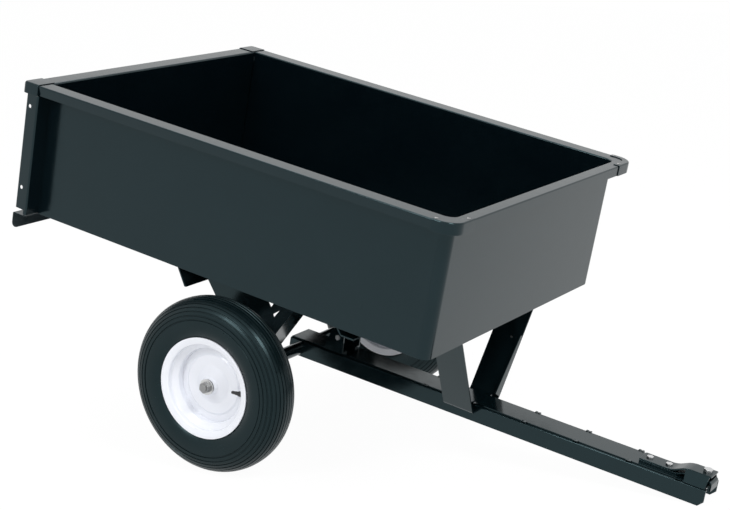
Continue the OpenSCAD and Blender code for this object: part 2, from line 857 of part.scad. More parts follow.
// Drop-centre barrel with turned flanges, and a dished disc with a step and a raised centre
module wheel_rim(side) {
    w = wheel_rim_w / 2;
    barrel = [[wheel_rim_r, w], [wheel_rim_r - flange_edge, w], [seat_r - wheel_rim_t, w - flange_edge],
              [seat_r - wheel_rim_t, w - seat_w], [well_r - wheel_rim_t, well_w / 2],
              [well_r - wheel_rim_t, -well_w / 2], [seat_r - wheel_rim_t, seat_w - w],
              [seat_r - wheel_rim_t, flange_edge - w], [wheel_rim_r - flange_edge, -w], [wheel_rim_r, -w]];
    disc = [[well_r - wheel_rim_t / 2, disc_y], [disc_step_r, disc_y],
            [disc_step_r - disc_step, disc_y + disc_step], [disc_cone_r, disc_y + disc_step],
            [hub_r + wheel_rim_t / 2, disc_y + disc_step + boss_rise]];
    color(white) difference() {
        spun(side) {
            polygon(sheet(barrel, wheel_rim_t));
            polygon(sheet(disc, wheel_rim_t));
        }
        valve_place(side) cylinder(r = valve_base_r + seat_gap, h = 2 * valve_base_l, center = true);
    }
}

module left_rim() {
    wheel_rim(1);
}

module right_rim() {
    wheel_rim(-1);
}

module hub(side) {
    color(white) cart() hand(side) translate([0, wheel_y - hub_in, 0]) rotate([-90, 0, 0]) {
        ring(hub_r, bush_r + hub_gap, hub_in + hub_out);
        translate([0, 0, hub_in + disc_y + disc_step + boss_rise + seat_gap])
            ring(hub_r + wheel_rim_t, hub_r - wheel_rim_t, wheel_rim_t);
    }
}

module left_hub() {
    hub(1);
}

module right_hub() {
    hub(-1);
}

// Two flanged bushes in the ends of the hub
module bushes(side) {
    color(paint) cart() hand(side) {
        translate([0, wheel_y - hub_in, 0]) rotate([-90, 0, 0]) {
            ring(bush_r, journal_r + run_clear, bush_l);
            translate([0, 0, -bush_flange_t]) ring(bush_flange_r, journal_r + run_clear, bush_flange_t);
        }
        translate([0, wheel_y + hub_out, 0]) rotate([90, 0, 0]) {
            ring(bush_r, journal_r + run_clear, bush_l);
            translate([0, 0, -bush_flange_t]) ring(bush_flange_r, journal_r + run_clear, bush_flange_t);
        }
    }
}

module left_bushes() {
    bushes(1);
}

module right_bushes() {
    bushes(-1);
}

// Inflation valve through the barrel, pointing at the hub
module valve(side) {
    color(rubber) valve_place(side) {
        cylinder(r = valve_base_r, h = valve_base_l);
        cylinder(r = valve_r, h = valve_l - valve_cap_l);
        cylinder(r = valve_cap_r, h = valve_l);
    }
}

module valve_place(side) {
    cart() hand(side) rotate([0, -valve_angle, 0]) translate([valve_foot_r, wheel_y + valve_y, 0])
        rotate([0, -90, 0]) children();
}

module left_valve() {
    valve(1);
}

module right_valve() {
    valve(-1);
}

// A washer at each end of both hubs
module wheel_washers() {
    washer_r = journal_r * washer_share;
    color(zinc) cart() for (s = [-1, 1]) hand(s) for (y = [shoulder_y, nut_y - washer_t])
        translate([0, y, 0]) rotate([-90, 0, 0]) ring(washer_r, journal_r + seat_gap, washer_t);
}

module axle_nuts() {
    color(zinc) cart() for (s = [-1, 1]) hand(s) translate([0, nut_y, 0]) rotate([-90, 0, 0]) difference() {
        cylinder(r = journal_r * hex_share, h = axle_nut_h, $fn = 6);
        translate([0, 0, -overrun]) cylinder(r = journal_r + seat_gap, h = axle_nut_h + 2 * overrun);
    }
}

drawbar();
axle();
axle_spacers();
left_stand_leg();
right_stand_leg();
stand_crossbar();
crossbar_bolts();
drawbar_ears();
ear_bolt();
hitch_upper_plate();
hitch_lower_plate();
hitch_bolts();
wheel_washers();
axle_nuts();
hitch_pin();
left_tyre();
left_rim();
left_hub();
left_bushes();
left_valve();
right_tyre();
right_rim();
right_hub();
right_bushes();
right_valve();
bed_floor();
left_side_panel();
right_side_panel();
front_panel();
front_left_cap();
front_right_cap();
cap_rivets();
left_axle_bracket();
right_axle_bracket();
bracket_bolts();
left_outrigger();
right_outrigger();
front_cross_member();
tailgate();
rear_left_cap();
rear_right_cap();
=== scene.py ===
"""Looks of a tow-behind tipping dump cart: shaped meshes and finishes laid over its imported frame.

Sizes are in millimetres, in one of two level frames with the axle at the origin, the nose towards +X and the left
side at +Y: the frame of the box and the frame of the drawbar. A piece is shaped there and then set on the ground.
"""

import json
import logging
import math
from dataclasses import dataclass
from enum import Enum
from typing import Any, Callable, Iterable, Sequence

import bmesh
import bpy
from bmesh.types import BMEdge, BMFace, BMVert
from mathutils import Matrix, Vector

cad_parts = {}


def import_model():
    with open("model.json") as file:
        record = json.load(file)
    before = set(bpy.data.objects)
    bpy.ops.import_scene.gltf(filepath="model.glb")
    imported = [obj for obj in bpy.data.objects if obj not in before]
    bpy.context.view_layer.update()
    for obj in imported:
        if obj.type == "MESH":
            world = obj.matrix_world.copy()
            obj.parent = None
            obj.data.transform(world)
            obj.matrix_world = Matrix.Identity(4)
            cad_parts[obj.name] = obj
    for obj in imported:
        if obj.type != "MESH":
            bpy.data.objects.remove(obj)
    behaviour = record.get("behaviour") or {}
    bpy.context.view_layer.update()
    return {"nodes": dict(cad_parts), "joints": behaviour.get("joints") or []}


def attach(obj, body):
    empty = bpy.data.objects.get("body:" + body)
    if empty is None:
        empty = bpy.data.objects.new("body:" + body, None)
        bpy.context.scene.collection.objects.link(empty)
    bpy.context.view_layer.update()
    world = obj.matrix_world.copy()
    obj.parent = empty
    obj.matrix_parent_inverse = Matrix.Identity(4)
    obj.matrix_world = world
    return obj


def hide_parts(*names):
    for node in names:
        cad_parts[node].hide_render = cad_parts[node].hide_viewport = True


LOG = logging.getLogger("dump_cart")
MM = 0.001
# Places closer than this, in millimetres, are the same place.
NEAR = 0.01
# Slack of a cut by a plane, in millimetres.
CUT_SLACK = 0.001

Point = tuple[float, float]
Colour = tuple[float, float, float]
Place = tuple[float, float, float]


class Side(Enum):
    """The two sides of the cart, with the sign of their Y."""

    LEFT = 1
    RIGHT = -1

    @property
    def label(self) -> str:
        """Name of the side as the nodes spell it."""
        return self.name.lower()


class Body(Enum):
    """The bodies that a piece can ride on."""

    CHASSIS = "chassis"
    PIN = "drawn_pin"
    BOX = "box"
    GATE = "gate"
    LEFT_WHEEL = "left_wheel"
    RIGHT_WHEEL = "right_wheel"


class Slot(Enum):
    """The record's material slots."""

    BOX_PAINT = "box_paint"
    FRAME_PAINT = "frame_paint"
    ZINC = "zinc"
    TYRE = "tyre"
    WHEEL_WHITE = "wheel_white"
    BUSH = "bush"
    VALVE = "valve_rubber"


@dataclass(frozen=True)
class Stance:
    """How the cart stands: the axle's place and the upright directions of its two level frames.

    Attributes:
        axle: Centre of the axle, in metres.
        box_up: Upright direction of the box.
        bar_up: Upright direction of the drawbar.
    """

    axle: Vector
    box_up: Vector
    bar_up: Vector

    @classmethod
    def from_joints(cls, joints: Sequence[dict[str, Any]]) -> "Stance":
        """Reads the stance from the joints of the frame.

        Args:
            joints: The frame's joints.

        Returns:
            The stance of the cart at rest.
        """
        named = {joint["name"]: joint for joint in joints}
        return cls(Vector(named["dump"]["pos_m"]), Vector(named["tailgate_lift"]["axis"]),
                   Vector(named["hitch_pin_draw"]["axis"]))

    @property
    def box(self) -> Matrix:
        """Matrix from the box's level frame to the ground."""
        return self._seat(self.box_up)

    @property
    def bar(self) -> Matrix:
        """Matrix from the drawbar's level frame to the ground."""
        return self._seat(self.bar_up)

    def _seat(self, up: Vector) -> Matrix:
        """Seats a level frame in millimetres on the axle.

        Args:
            up: Upright direction of the frame.

        Returns:
            The matrix of that frame.
        """
        lean = Matrix.Rotation(math.atan2(up.x, up.z), 4, "Y")
        return Matrix.Translation(self.axle) @ lean @ Matrix.Scale(MM, 4)


class NodeBench:
    """A material in the making: a principled shader and the textures that feed it."""

    def __init__(self, name: str) -> None:
        """Sets up the shader and the coordinates.

        Args:
            name: Name of the material.
        """
        self.material = bpy.data.materials.new(name)
        self.material.use_nodes = True
        self.tree = self.material.node_tree
        self.tree.nodes.clear()
        self.shader = self.add("ShaderNodeBsdfPrincipled")
        self.join(self.shader.outputs["BSDF"], self.add("ShaderNodeOutputMaterial").inputs["Surface"])
        self.coords = self.add("ShaderNodeTexCoord").outputs["Object"]

    def add(self, kind: str, **settings: Any) -> bpy.types.Node:
        """Adds a node.

        Args:
            kind: The node's type.
            **settings: Properties to set on it.

        Returns:
            The new node.
        """
        node = self.tree.nodes.new(kind)
        for key, value in settings.items():
            setattr(node, key, value)
        return node

    def join(self, source: bpy.types.NodeSocket, target: bpy.types.NodeSocket) -> None:
        """Links one socket to another."""
        self.tree.links.new(source, target)

    def set(self, **values: Any) -> None:
        """Sets shader sockets by name, with underscores for spaces."""
        for key, value in values.items():
            self.shader.inputs[key.replace("_", " ")].default_value = value

    def centred(self, place: Vector) -> bpy.types.NodeSocket:
        """Coordinates measured from a place.

        Args:
            place: The new zero, in metres.

        Returns:
            The moved coordinates.
        """
        shift = self.add("ShaderNodeMapping")
        shift.inputs["Location"].default_value = -place
        self.join(self.coords, shift.inputs["Vector"])
        return shift.outputs["Vector"]

    def grain(self, scale: float, detail: float = 3.0) -> bpy.types.NodeSocket:
        """Soft random grain.

        Args:
            scale: Grains to the metre.
            detail: Depth of finer grain in it.

        Returns:
            The grain's factor.
        """
        noise = self.add("ShaderNodeTexNoise")
        noise.inputs["Scale"].default_value = scale
        noise.inputs["Detail"].default_value = detail
        self.join(self.coords, noise.inputs["Vector"])
        return noise.outputs["Fac"]

    def shade(self, factor: bpy.types.NodeSocket, dark: Colour, light: Colour) -> None:
        """Lets a factor choose the base colour between two shades."""
        ramp = self.add("ShaderNodeValToRGB")
        for stop, place, colour in zip(ramp.color_ramp.elements, (0.32, 0.68), (dark, light)):
            stop.position = place
            stop.color = (*colour, 1.0)
        self.join(factor, ramp.inputs["Fac"])
        self.join(ramp.outputs["Color"], self.shader.inputs["Base Color"])

    def dull(self, factor: bpy.types.NodeSocket, low: float, high: float) -> None:
        """Lets a factor choose the roughness between two values."""
        span = self.add("ShaderNodeMapRange")
        for key, value in (("From Min", 0.3), ("From Max", 0.7), ("To Min", low), ("To Max", high)):
            span.inputs[key].default_value = value
        self.join(factor, span.inputs["Value"])
        self.join(span.outputs["Result"], self.shader.inputs["Roughness"])

    def emboss(self, height: bpy.types.NodeSocket, strength: float, depth: float) -> None:
        """Adds a bump on top of those already there.

        Args:
            height: The bump's height, from 0 to 1.
            strength: Share of the bump that shows.
            depth: Depth of the bump, in metres.
        """
        bump = self.add("ShaderNodeBump")
        bump.inputs["Strength"].default_value = strength
        bump.inputs["Distance"].default_value = depth
        self.join(height, bump.inputs["Height"])
        target = self.shader.inputs["Normal"]
        if target.is_linked:
            self.join(target.links[0].from_socket, bump.inputs["Normal"])
        self.join(bump.outputs["Normal"], target)


@dataclass(frozen=True)
class Finish:
    """What every finish has: a name, two shades that it wanders between and a roughness."""

    name: str
    dark: Colour
    light: Colour
    roughness: float

    def material(self) -> bpy.types.Material:
        """Gives the finish's material, made on first use."""
        return bpy.data.materials.get(self.name) or self.mix(NodeBench(self.name))

    def mix(self, bench: NodeBench) -> bpy.types.Material:
        """Mixes the finish.

        Args:
            bench: A fresh material.

        Returns:
            The finished material.
        """
        bench.shade(bench.grain(9.0), self.dark, self.light)
        bench.dull(bench.grain(60.0), self.roughness * 0.85, self.roughness * 1.2)
        return bench.material


@dataclass(frozen=True)
class PowderCoat(Finish):
    """Semi-gloss powder coat with a fine orange peel and a faint film of dust."""

    peel: float = 0.016
    gloss: float = 0.42
    sheen: Colour = (0.60, 0.92, 1.0)

    def mix(self, bench: NodeBench) -> bpy.types.Material:
        """Mixes the coat: clouded colour, patchy gloss and two sizes of orange peel."""
        super().mix(bench)
        bench.set(Specular_IOR_Level=self.gloss, IOR=1.5, Specular_Tint=(*self.sheen, 1.0))
        bench.emboss(bench.grain(26.0, 1.0), self.peel, 0.0006)
        bench.emboss(bench.grain(520.0, 2.0), 0.75 * self.peel, 0.0003)
        return bench.material


@dataclass(frozen=True)
class TyreRubber(Finish):
    """Moulded rubber with fine rings from the mould and a bloom on the surface."""

    axle: Vector = Vector()
    ring_pitch: float = 0.0022

    def mix(self, bench: NodeBench) -> bpy.types.Material:
        """Mixes the rubber: bloom, pores and the mould's rings about the axle."""
        super().mix(bench)
        bench.set(Specular_IOR_Level=0.3, Specular_Tint=(0.62, 0.93, 1.0, 1.0))
        rings = bench.add("ShaderNodeTexWave", wave_type="RINGS", rings_direction="Y", wave_profile="SIN")
        rings.inputs["Scale"].default_value = math.tau / (20.0 * self.ring_pitch)
        rings.inputs["Distortion"].default_value = 0.0
        bench.join(bench.centred(self.axle), rings.inputs["Vector"])
        bench.emboss(rings.outputs["Fac"], 0.12, 0.0002)
        bench.emboss(bench.grain(900.0, 4.0), 0.14, 0.0003)
        return bench.material


@dataclass(frozen=True)
class WheelEnamel(Finish):
    """Gloss white enamel that levels into a slow ripple."""

    def mix(self, bench: NodeBench) -> bpy.types.Material:
        """Mixes the enamel: clear gloss over a faintly rippled white."""
        super().mix(bench)
        bench.set(Coat_Weight=0.35, Coat_Roughness=0.06)
        bench.emboss(bench.grain(70.0, 2.0), 0.05, 0.0006)
        return bench.material


@dataclass(frozen=True)
class ZincPlate(Finish):
    """Bright zinc plating, cloudy and finely scratched."""

    def mix(self, bench: NodeBench) -> bpy.types.Material:
        """Mixes the plating: cloudy metal with a fine grain."""
        super().mix(bench)
        bench.set(Metallic=1.0)
        bench.emboss(bench.grain(1400.0, 3.0), 0.1, 0.0002)
        return bench.material


@dataclass(frozen=True)
class MouldedBlack(Finish):
    """Plain black rubber or plastic with a fine moulded texture."""

    def mix(self, bench: NodeBench) -> bpy.types.Material:
        """Mixes the moulding: dull black with a fine pebbled skin."""
        super().mix(bench)
        bench.emboss(bench.grain(1100.0, 3.0), 0.2, 0.0003)
        return bench.material


class Blank:
    """A piece of sheet, bar or rubber while it is shaped, in millimetres and in a level frame."""

    FOLD_ANGLE = math.radians(7.0)
    PUNCH_ROOM = 1.7
    SEAM = 0.0005

    def __init__(self) -> None:
        """Starts with an empty bench."""
        self.bm = bmesh.new()

    def strip(self, path: Iterable[Sequence[float]], sweep: Sequence[float]) -> None:
        """Sweeps a folded line sideways into a sheet that has no thickness yet.

        Args:
            path: Points of the folded line.
            sweep: How far and which way the line is swept.
        """
        verts = [self.bm.verts.new(point) for point in path]
        self.pull([self.bm.edges.new(pair) for pair in zip(verts, verts[1:])], sweep)

    def plate(self, outline: Iterable[Sequence[float]]) -> None:
        """Lays down a flat plate from its corners."""
        self.bm.faces.new([self.bm.verts.new(point) for point in outline])

    def pull(self, edges: list[BMEdge], vec: Sequence[float]) -> list[BMVert]:
        """Extrudes edges into new faces.

        Args:
            edges: Edges to pull.
            vec: How far and which way.

        Returns:
            The new vertices.
        """
        grown = bmesh.ops.extrude_edge_only(self.bm, edges=edges)["geom"]
        verts = [item for item in grown if isinstance(item, BMVert)]
        bmesh.ops.translate(self.bm, verts=verts, vec=vec)
        return verts

    def edges(self, test: Callable[[Vector], bool]) -> list[BMEdge]:
        """Finds edges by a test that both their ends pass."""
        return [edge for edge in self.bm.edges if all(test(vert.co) for vert in edge.verts)]

    def slit(self, at: Sequence[float], normal: Sequence[float]) -> None:
        """Cuts every face that a plane crosses, without parting the halves."""
        geom = [*self.bm.verts, *self.bm.edges, *self.bm.faces]
        bmesh.ops.bisect_plane(self.bm, geom=geom, dist=CUT_SLACK, plane_co=at, plane_no=normal)

    def round_corners(self, spots: Iterable[Sequence[float]], radius: float, segments: int = 8) -> None:
        """Rounds corners of an outline.

        Args:
            spots: Where the corners are.
            radius: Radius of the rounding, or the size of the cut for one segment.
            segments: Faces round a corner.
        """
        places = [Vector(spot) for spot in spots]
        verts = [v for v in self.bm.verts if any((v.co - place).length < NEAR for place in places)]
        bmesh.ops.bevel(self.bm, geom=verts, offset=radius, offset_type="OFFSET", segments=segments, profile=0.5,
                        affect="VERTICES", material=-1)

    def bend(self, radius: float, test: Callable[[Vector], bool] = lambda at: True, segments: int = 5) -> None:
        """Gives the folds of a sheet a bending radius.

        Args:
            radius: Distance from the fold's line at which the bend starts.
            test: Chooses folds by their middle.
            segments: Faces round a bend.
        """
        self.bm.normal_update()
        folds = [edge for edge in self.bm.edges
                 if len(edge.link_faces) == 2 and edge.calc_face_angle(0.0) > self.FOLD_ANGLE
                 and test((edge.verts[0].co + edge.verts[1].co) / 2)]
        bmesh.ops.bevel(self.bm, geom=folds, offset=radius, offset_type="OFFSET", segments=segments, profile=0.5,
                        affect="EDGES", material=-1, clamp_overlap=True, loop_slide=True)

    def punch(self, centre: Vector, normal: Vector, radius: float, facets: int = 6) -> None:
        """Cuts a round hole in a flat face: opens a square and bridges its edge to a circle.

        Args:
            centre: Centre of the hole.
            normal: Direction of the hole.
            radius: Radius of the hole.
            facets: Edges to a quarter of the circle.
        """
        turn = normal.to_track_quat("Z", "Y").to_matrix().to_4x4()
        half = radius * self.PUNCH_ROOM
        for axis in (turn.col[0].to_3d(), turn.col[1].to_3d()):
            for sign in (-1, 1):
                self.slit_faces(self.flat_faces(centre, normal), centre + axis * half * sign, axis)
        face = min(self.flat_faces(centre, normal), key=lambda item: (item.calc_center_median() - centre).length)
        bmesh.ops.subdivide_edges(self.bm, edges=list(face.edges), cuts=facets - 1)
        face = min(self.flat_faces(centre, normal), key=lambda item: (item.calc_center_median() - centre).length)
        outline = list(face.edges)
        bmesh.ops.delete(self.bm, geom=[face], context="FACES_ONLY")
        ring = bmesh.ops.create_circle(self.bm, cap_ends=False, segments=4 * facets, radius=radius,
                                       matrix=Matrix.Translation(centre) @ turn)["verts"]
        circle = list({edge for vert in ring for edge in vert.link_edges})
        bmesh.ops.bridge_loops(self.bm, edges=outline + circle)

    def flat_faces(self, centre: Vector, normal: Vector) -> list[BMFace]:
        """Finds the faces that lie in the plane through a point."""
        self.bm.normal_update()
        return [face for face in self.bm.faces if abs(face.normal.dot(normal)) > 0.999
                and abs((face.calc_center_median() - centre).dot(normal)) < NEAR]

    def slit_faces(self, faces: list[BMFace], at: Vector, normal: Vector) -> None:
        """Cuts chosen faces along a plane, without parting the halves."""
        edges = {edge for face in faces for edge in face.edges}
        verts = {vert for face in faces for vert in face.verts}
        bmesh.ops.bisect_plane(self.bm, geom=[*verts, *edges, *faces], dist=CUT_SLACK, plane_co=at, plane_no=normal)

    def thicken(self, thickness: float, toward: Sequence[float]) -> None:
        """Gives the sheet its thickness.

        Args:
            thickness: Thickness of the sheet.
            toward: Side of the largest face on which the thickness is added.
        """
        faces = list(self.bm.faces)
        bmesh.ops.recalc_face_normals(self.bm, faces=faces)
        self.bm.normal_update()
        if max(faces, key=lambda item: item.calc_area()).normal.dot(Vector(toward)) > 0:
            bmesh.ops.reverse_faces(self.bm, faces=faces)
        bmesh.ops.solidify(self.bm, geom=faces, thickness=thickness)

    def thicken_round(self, thickness: float) -> None:
        """Gives a spun wall its thickness on the side away from the axle.

        Args:
            thickness: Thickness of the wall.
        """
        face = max(self.bm.faces, key=lambda item: item.calc_area())
        middle = face.calc_center_median()
        self.thicken(thickness, (middle.x, 0.0, middle.z))

    def turn(self, profile: Sequence[Point], steps: int = 96, closed: bool = True) -> None:
        """Spins a profile of (radius, distance along the axle) round the axle.

        Args:
            profile: Points of the profile.
            steps: Faces round the circle.
            closed: Whether the last point joins the first.
        """
        verts = [self.bm.verts.new((radius, along, 0.0)) for radius, along in profile]
        pairs = list(zip(verts, verts[1:])) + ([(verts[-1], verts[0])] if closed else [])
        geom = verts + [self.bm.edges.new(pair) for pair in pairs]
        bmesh.ops.spin(self.bm, geom=geom, cent=(0, 0, 0), axis=(0, 1, 0), dvec=(0, 0, 0), angle=math.tau,
                       steps=steps, use_merge=True, use_duplicate=False)
        bmesh.ops.remove_doubles(self.bm, verts=self.bm.verts, dist=self.SEAM)
        bmesh.ops.recalc_face_normals(self.bm, faces=self.bm.faces)

    def hexagon(self, radius: float, height: float, chamfer: float) -> None:
        """Makes a hexagonal bar along Z, up from z = 0, with its top corners cut.

        Args:
            radius: Radius over the corners.
            height: Height of the bar.
            chamfer: Size of the cut at the corners.
        """
        made = bmesh.ops.create_cone(self.bm, cap_ends=True, segments=6, radius1=radius, radius2=radius,
                                     depth=height)["verts"]
        bmesh.ops.translate(self.bm, verts=made, vec=(0, 0, height / 2))
        tops = [vert for vert in made if vert.co.z > height / 2]
        bmesh.ops.bevel(self.bm, geom=tops, offset=chamfer, offset_type="OFFSET", segments=3, profile=0.5,
                        affect="VERTICES", material=-1)

    def rod(self, radius: float, low: float, high: float, segments: int = 32) -> None:
        """Makes a round bar along Z.

        Args:
            radius: Radius of the bar.
            low: Its lower end.
            high: Its upper end.
            segments: Faces round it.
        """
        middle = Matrix.Translation((0, 0, (low + high) / 2))
        bmesh.ops.create_cone(self.bm, cap_ends=True, segments=segments, radius1=radius, radius2=radius,
                              depth=high - low, matrix=middle)

    def move(self, matrix: Matrix) -> "Blank":
        """Moves all that is on the bench, and turns faces back out after a mirroring.

        Args:
            matrix: The move.

        Returns:
            The same blank.
        """
        bmesh.ops.transform(self.bm, matrix=matrix, verts=self.bm.verts)
        if matrix.determinant() < 0:
            bmesh.ops.reverse_faces(self.bm, faces=self.bm.faces)
        return self

    def hand(self, side: Side) -> "Blank":
        """Mirrors a left-hand blank where the right side is asked for."""
        return self.move(Matrix.Diagonal((1, side.value, 1, 1)))

    def join(self, other: "Blank") -> "Blank":
        """Takes over the mesh of another blank.

        Args:
            other: The blank that is used up.

        Returns:
            This blank.
        """
        mesh = bpy.data.meshes.new("joint")
        other.bm.to_mesh(mesh)
        other.bm.free()
        self.bm.from_mesh(mesh)
        bpy.data.meshes.remove(mesh)
        return self

    def release(self, name: str, place: Matrix, finish: Finish, body: Body, slot: Slot, nodes: Sequence[str],
                edge: float = 0.4, sharp: float = 38.0) -> None:
        """Turns the blank into a finished piece of the cart.

        Args:
            name: Name of the piece.
            place: Matrix that sets the level frame on the ground.
            finish: Finish of the piece.
            body: Body that it rides on.
            slot: Material slot of its finish; not used.
            nodes: Nodes that it stands for.
            edge: Width of the broken edges in millimetres, zero for none.
            sharp: Angle in degrees above which an edge counts as sharp.
        """
        self.move(place)
        for face in self.bm.faces:
            face.smooth = True
        if not edge:
            for item in self.bm.edges:
                item.smooth = item.calc_face_angle(0.0) < math.radians(sharp)
        mesh = bpy.data.meshes.new(name)
        self.bm.to_mesh(mesh)
        self.bm.free()
        mesh.materials.append(finish.material())
        piece = bpy.data.objects.new(name, mesh)
        bpy.context.scene.collection.objects.link(piece)
        if edge:
            broken = piece.modifiers.new("broken_edges", "BEVEL")
            broken.width = edge * MM
            broken.segments = 2
            broken.limit_method = "ANGLE"
            broken.angle_limit = math.radians(sharp)
        flat = piece.modifiers.new("flat_faces", "WEIGHTED_NORMAL")
        flat.keep_sharp = True
        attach(piece, body.value)
        if nodes:
            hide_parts(*nodes)
        LOG.info("%s: %d faces", name, len(mesh.polygons))


@dataclass
class LoadBox:
    """The open box: floor with its sill, two sides with their channels, front wall, caps and rivets."""

    stance: Stance
    coat: PowderCoat
    zinc: ZincPlate
    rear: float = 557.0
    front: float = 520.0
    half: float = 411.0
    lift: float = 242.0
    top: float = 560.0
    sheet: float = 1.6
    corner: float = 24.0
    rim_half: float = 455.0
    rim_nose: float = 549.0
    rim_lip: float = 24.0
    rim_corner: float = 38.0
    rim_bend: float = 2.0
    lip_tuck: float = 4.6
    fold: float = 2.6
    channel_back: float = 593.0
    channel_return: float = 12.0
    channel_foot: float = 256.0
    channel_tuck: float = 3.6
    channel_top: float = 534.5
    hole_x: float = -579.5
    hole_r: float = 4.5
    hole_heights: tuple[float, ...] = (505.94, 308.78)
    sill: float = 40.0
    sill_corner: float = 18.0
    cap: float = 2.0
    cap_leg: Point = (56.0, 86.0)
    cap_bend: float = 1.6
    cap_cover: float = 15.0
    cap_lap: float = 1.0
    cap_gap: float = 0.15
    rivet_r: float = 4.0
    rivet_h: float = 1.4

    def build(self) -> None:
        """Builds the floor, the walls, the caps and their rivets."""
        self.floor()
        for side in Side:
            self.side_wall(side)
        self.front_wall()
        for side in Side:
            self.front_cap(side)
        self.rivets()

    def floor(self) -> None:
        """Builds the floor plate and, behind it, the tongue that turns down into the drip sill."""
        t, z = self.sheet, self.lift + self.sheet
        front, half = self.front - t, self.half - t
        plate = Blank()
        plate.plate([(-self.rear, -half, z), (front, -half, z), (front, half, z), (-self.rear, half, z)])
        plate.round_corners([(front, -half, z), (front, half, z)], self.corner - t)
        plate.thicken(t, (0, 0, -1))
        back = -self.channel_back - t
        low = self.lift - self.sill
        sill = Blank()
        sill.strip([(-self.rear, -self.rim_half, z), (back, -self.rim_half, z), (back, -self.rim_half, low)],
                   (0, 2 * self.rim_half, 0))
        sill.round_corners([(back, s * self.rim_half, low) for s in (-1, 1)], self.sill_corner)
        sill.bend(self.fold)
        sill.thicken(t, (1, 0, 0))
        plate.join(sill).release("floor_with_sill", self.stance.box, self.coat, Body.BOX, Slot.BOX_PAINT,
                                 ["bed_floor"])

    def side_wall(self, side: Side) -> None:
        """Builds a side wall with its rim, and the channel that guides the tailgate and leans in a little behind.

        Args:
            side: Side of the cart.
        """
        t = self.sheet
        wall = Blank()
        x0, x1 = -self.rear, self.front - self.corner
        wall.strip([(x0, self.half, self.lift), (x0, self.half, self.top - t),
                    (x0, self.rim_half - t, self.top - t),
                    (x0, self.rim_half - t - self.lip_tuck, self.top - self.rim_lip)], (x1 - x0, 0, 0))
        wall.bend(self.rim_bend)
        wall.thicken(t, (0, -1, 0))
        guide = Blank()
        out, z0 = self.rim_half - t, self.channel_foot
        back = t - self.channel_back
        guide.strip([(-self.rear, self.half - t, z0), (-self.rear, out, z0), (back, out, z0),
                     (back, self.rim_half - self.channel_return, z0)], (0, 0, self.channel_top - z0))
        for height in self.hole_heights:
            guide.punch(Vector((self.hole_x, out, height)), Vector((0, 1, 0)), self.hole_r)
        for vert in guide.bm.verts:
            if vert.co.y > out - 1:
                vert.co.y -= self.channel_tuck * (-self.rear - vert.co.x) / (-self.rear - back)
        guide.bend(self.fold)
        guide.thicken(t, (1, 0, 0))
        wall.join(guide).hand(side).release(f"{side.label}_side_wall", self.stance.box, self.coat, Body.BOX,
                                            Slot.BOX_PAINT, [f"{side.label}_side_panel"])

    def front_wall(self) -> None:
        """Builds the front wall, which turns both corners and carries the rim round them."""
        t, r = self.sheet, self.corner
        x0, z1 = self.front - r, self.top - t
        wall = Blank()
        wall.strip([(x0, -self.half, self.lift), (self.front, -self.half, self.lift),
                    (self.front, self.half, self.lift), (x0, self.half, self.lift)], (0, 0, z1 - self.lift))
        wall.bend(r - 0.02, segments=12)
        rim = wall.pull(wall.edges(lambda at: at.z > z1 - 1), (0, 0, 0))
        for vert in rim:
            vert.co = self.rim_point(vert.co)
        lip = wall.pull(wall.edges(lambda at: abs(at.y) > self.half + 1 or at.x > self.front + 1), (0, 0, 0))
        for vert in lip:
            vert.co.z = self.top - self.rim_lip
            tuck = self.lip_tuck * max(0.0, 1 - (vert.co.x - x0) / (self.rim_nose - x0))
            vert.co.y -= math.copysign(tuck, vert.co.y)
        wall.bend(self.rim_bend, lambda at: abs(at.z - z1) < NEAR)
        wall.thicken(t, (-1, 0, 0))
        wall.release("front_wall", self.stance.box, self.coat, Body.BOX, Slot.BOX_PAINT, ["front_panel"])

    def rim_point(self, at: Vector) -> Vector:
        """Finds the rim's outer edge beside a point on top of the front wall.

        Args:
            at: Point on the wall's top edge.

        Returns:
            The point on the rim's outer edge.
        """
        r = self.rim_corner - self.sheet
        outer, nose = self.rim_half - self.sheet, self.rim_nose - self.sheet
        hub = Vector((self.front - self.corner, math.copysign(self.half - self.corner, at.y), 0))
        arm = Vector((at.x - hub.x, at.y - hub.y, 0))
        if arm.x < 0.005:
            return Vector((at.x, math.copysign(outer, at.y), at.z))
        arm.normalize()
        return Vector((nose - r + arm.x * r, math.copysign(outer - r, at.y) + arm.y * r, at.z))

    def front_cap(self, side: Side) -> None:
        """Builds a corner cap that wraps the rim's front corner, with its longer leg along the front.

        Args:
            side: Side of the cart.
        """
        g, z = self.cap_gap, self.top
        nose, out = self.rim_nose + g, self.rim_half + g
        x0, y0 = self.rim_nose - self.cap_leg[0], self.rim_half - self.cap_leg[1]
        x1, y1 = self.rim_nose - self.cap_cover, self.rim_half - self.cap_cover
        cap = Blank()
        cap.plate([(x0, out, z), (nose, out, z), (nose, y0, z), (x1, y0, z), (x1, y1, z), (x0, y1, z)])
        cap.round_corners([(nose, out, z)], self.rim_corner + g, 12)
        cap.round_corners([(x1, y1, z)], self.rim_corner - self.cap_cover, 12)
        hub = Vector((self.rim_nose - self.rim_corner, self.rim_half - self.rim_corner, z))
        cap.pull(cap.edges(lambda at: at.x > nose - NEAR or at.y > out - NEAR
                           or abs((at - hub).length - self.rim_corner - g) < 0.05),
                 (0, 0, -self.rim_lip - self.cap_lap))
        cap.bend(self.cap_bend, lambda at: abs(at.z - z) < NEAR)
        cap.thicken(self.cap, (0, 0, 1))
        cap.hand(side).release(f"front_{side.label}_corner_cap", self.stance.box, self.coat, Body.BOX,
                               Slot.BOX_PAINT, [f"front_{side.label}_cap"], edge=1.0)

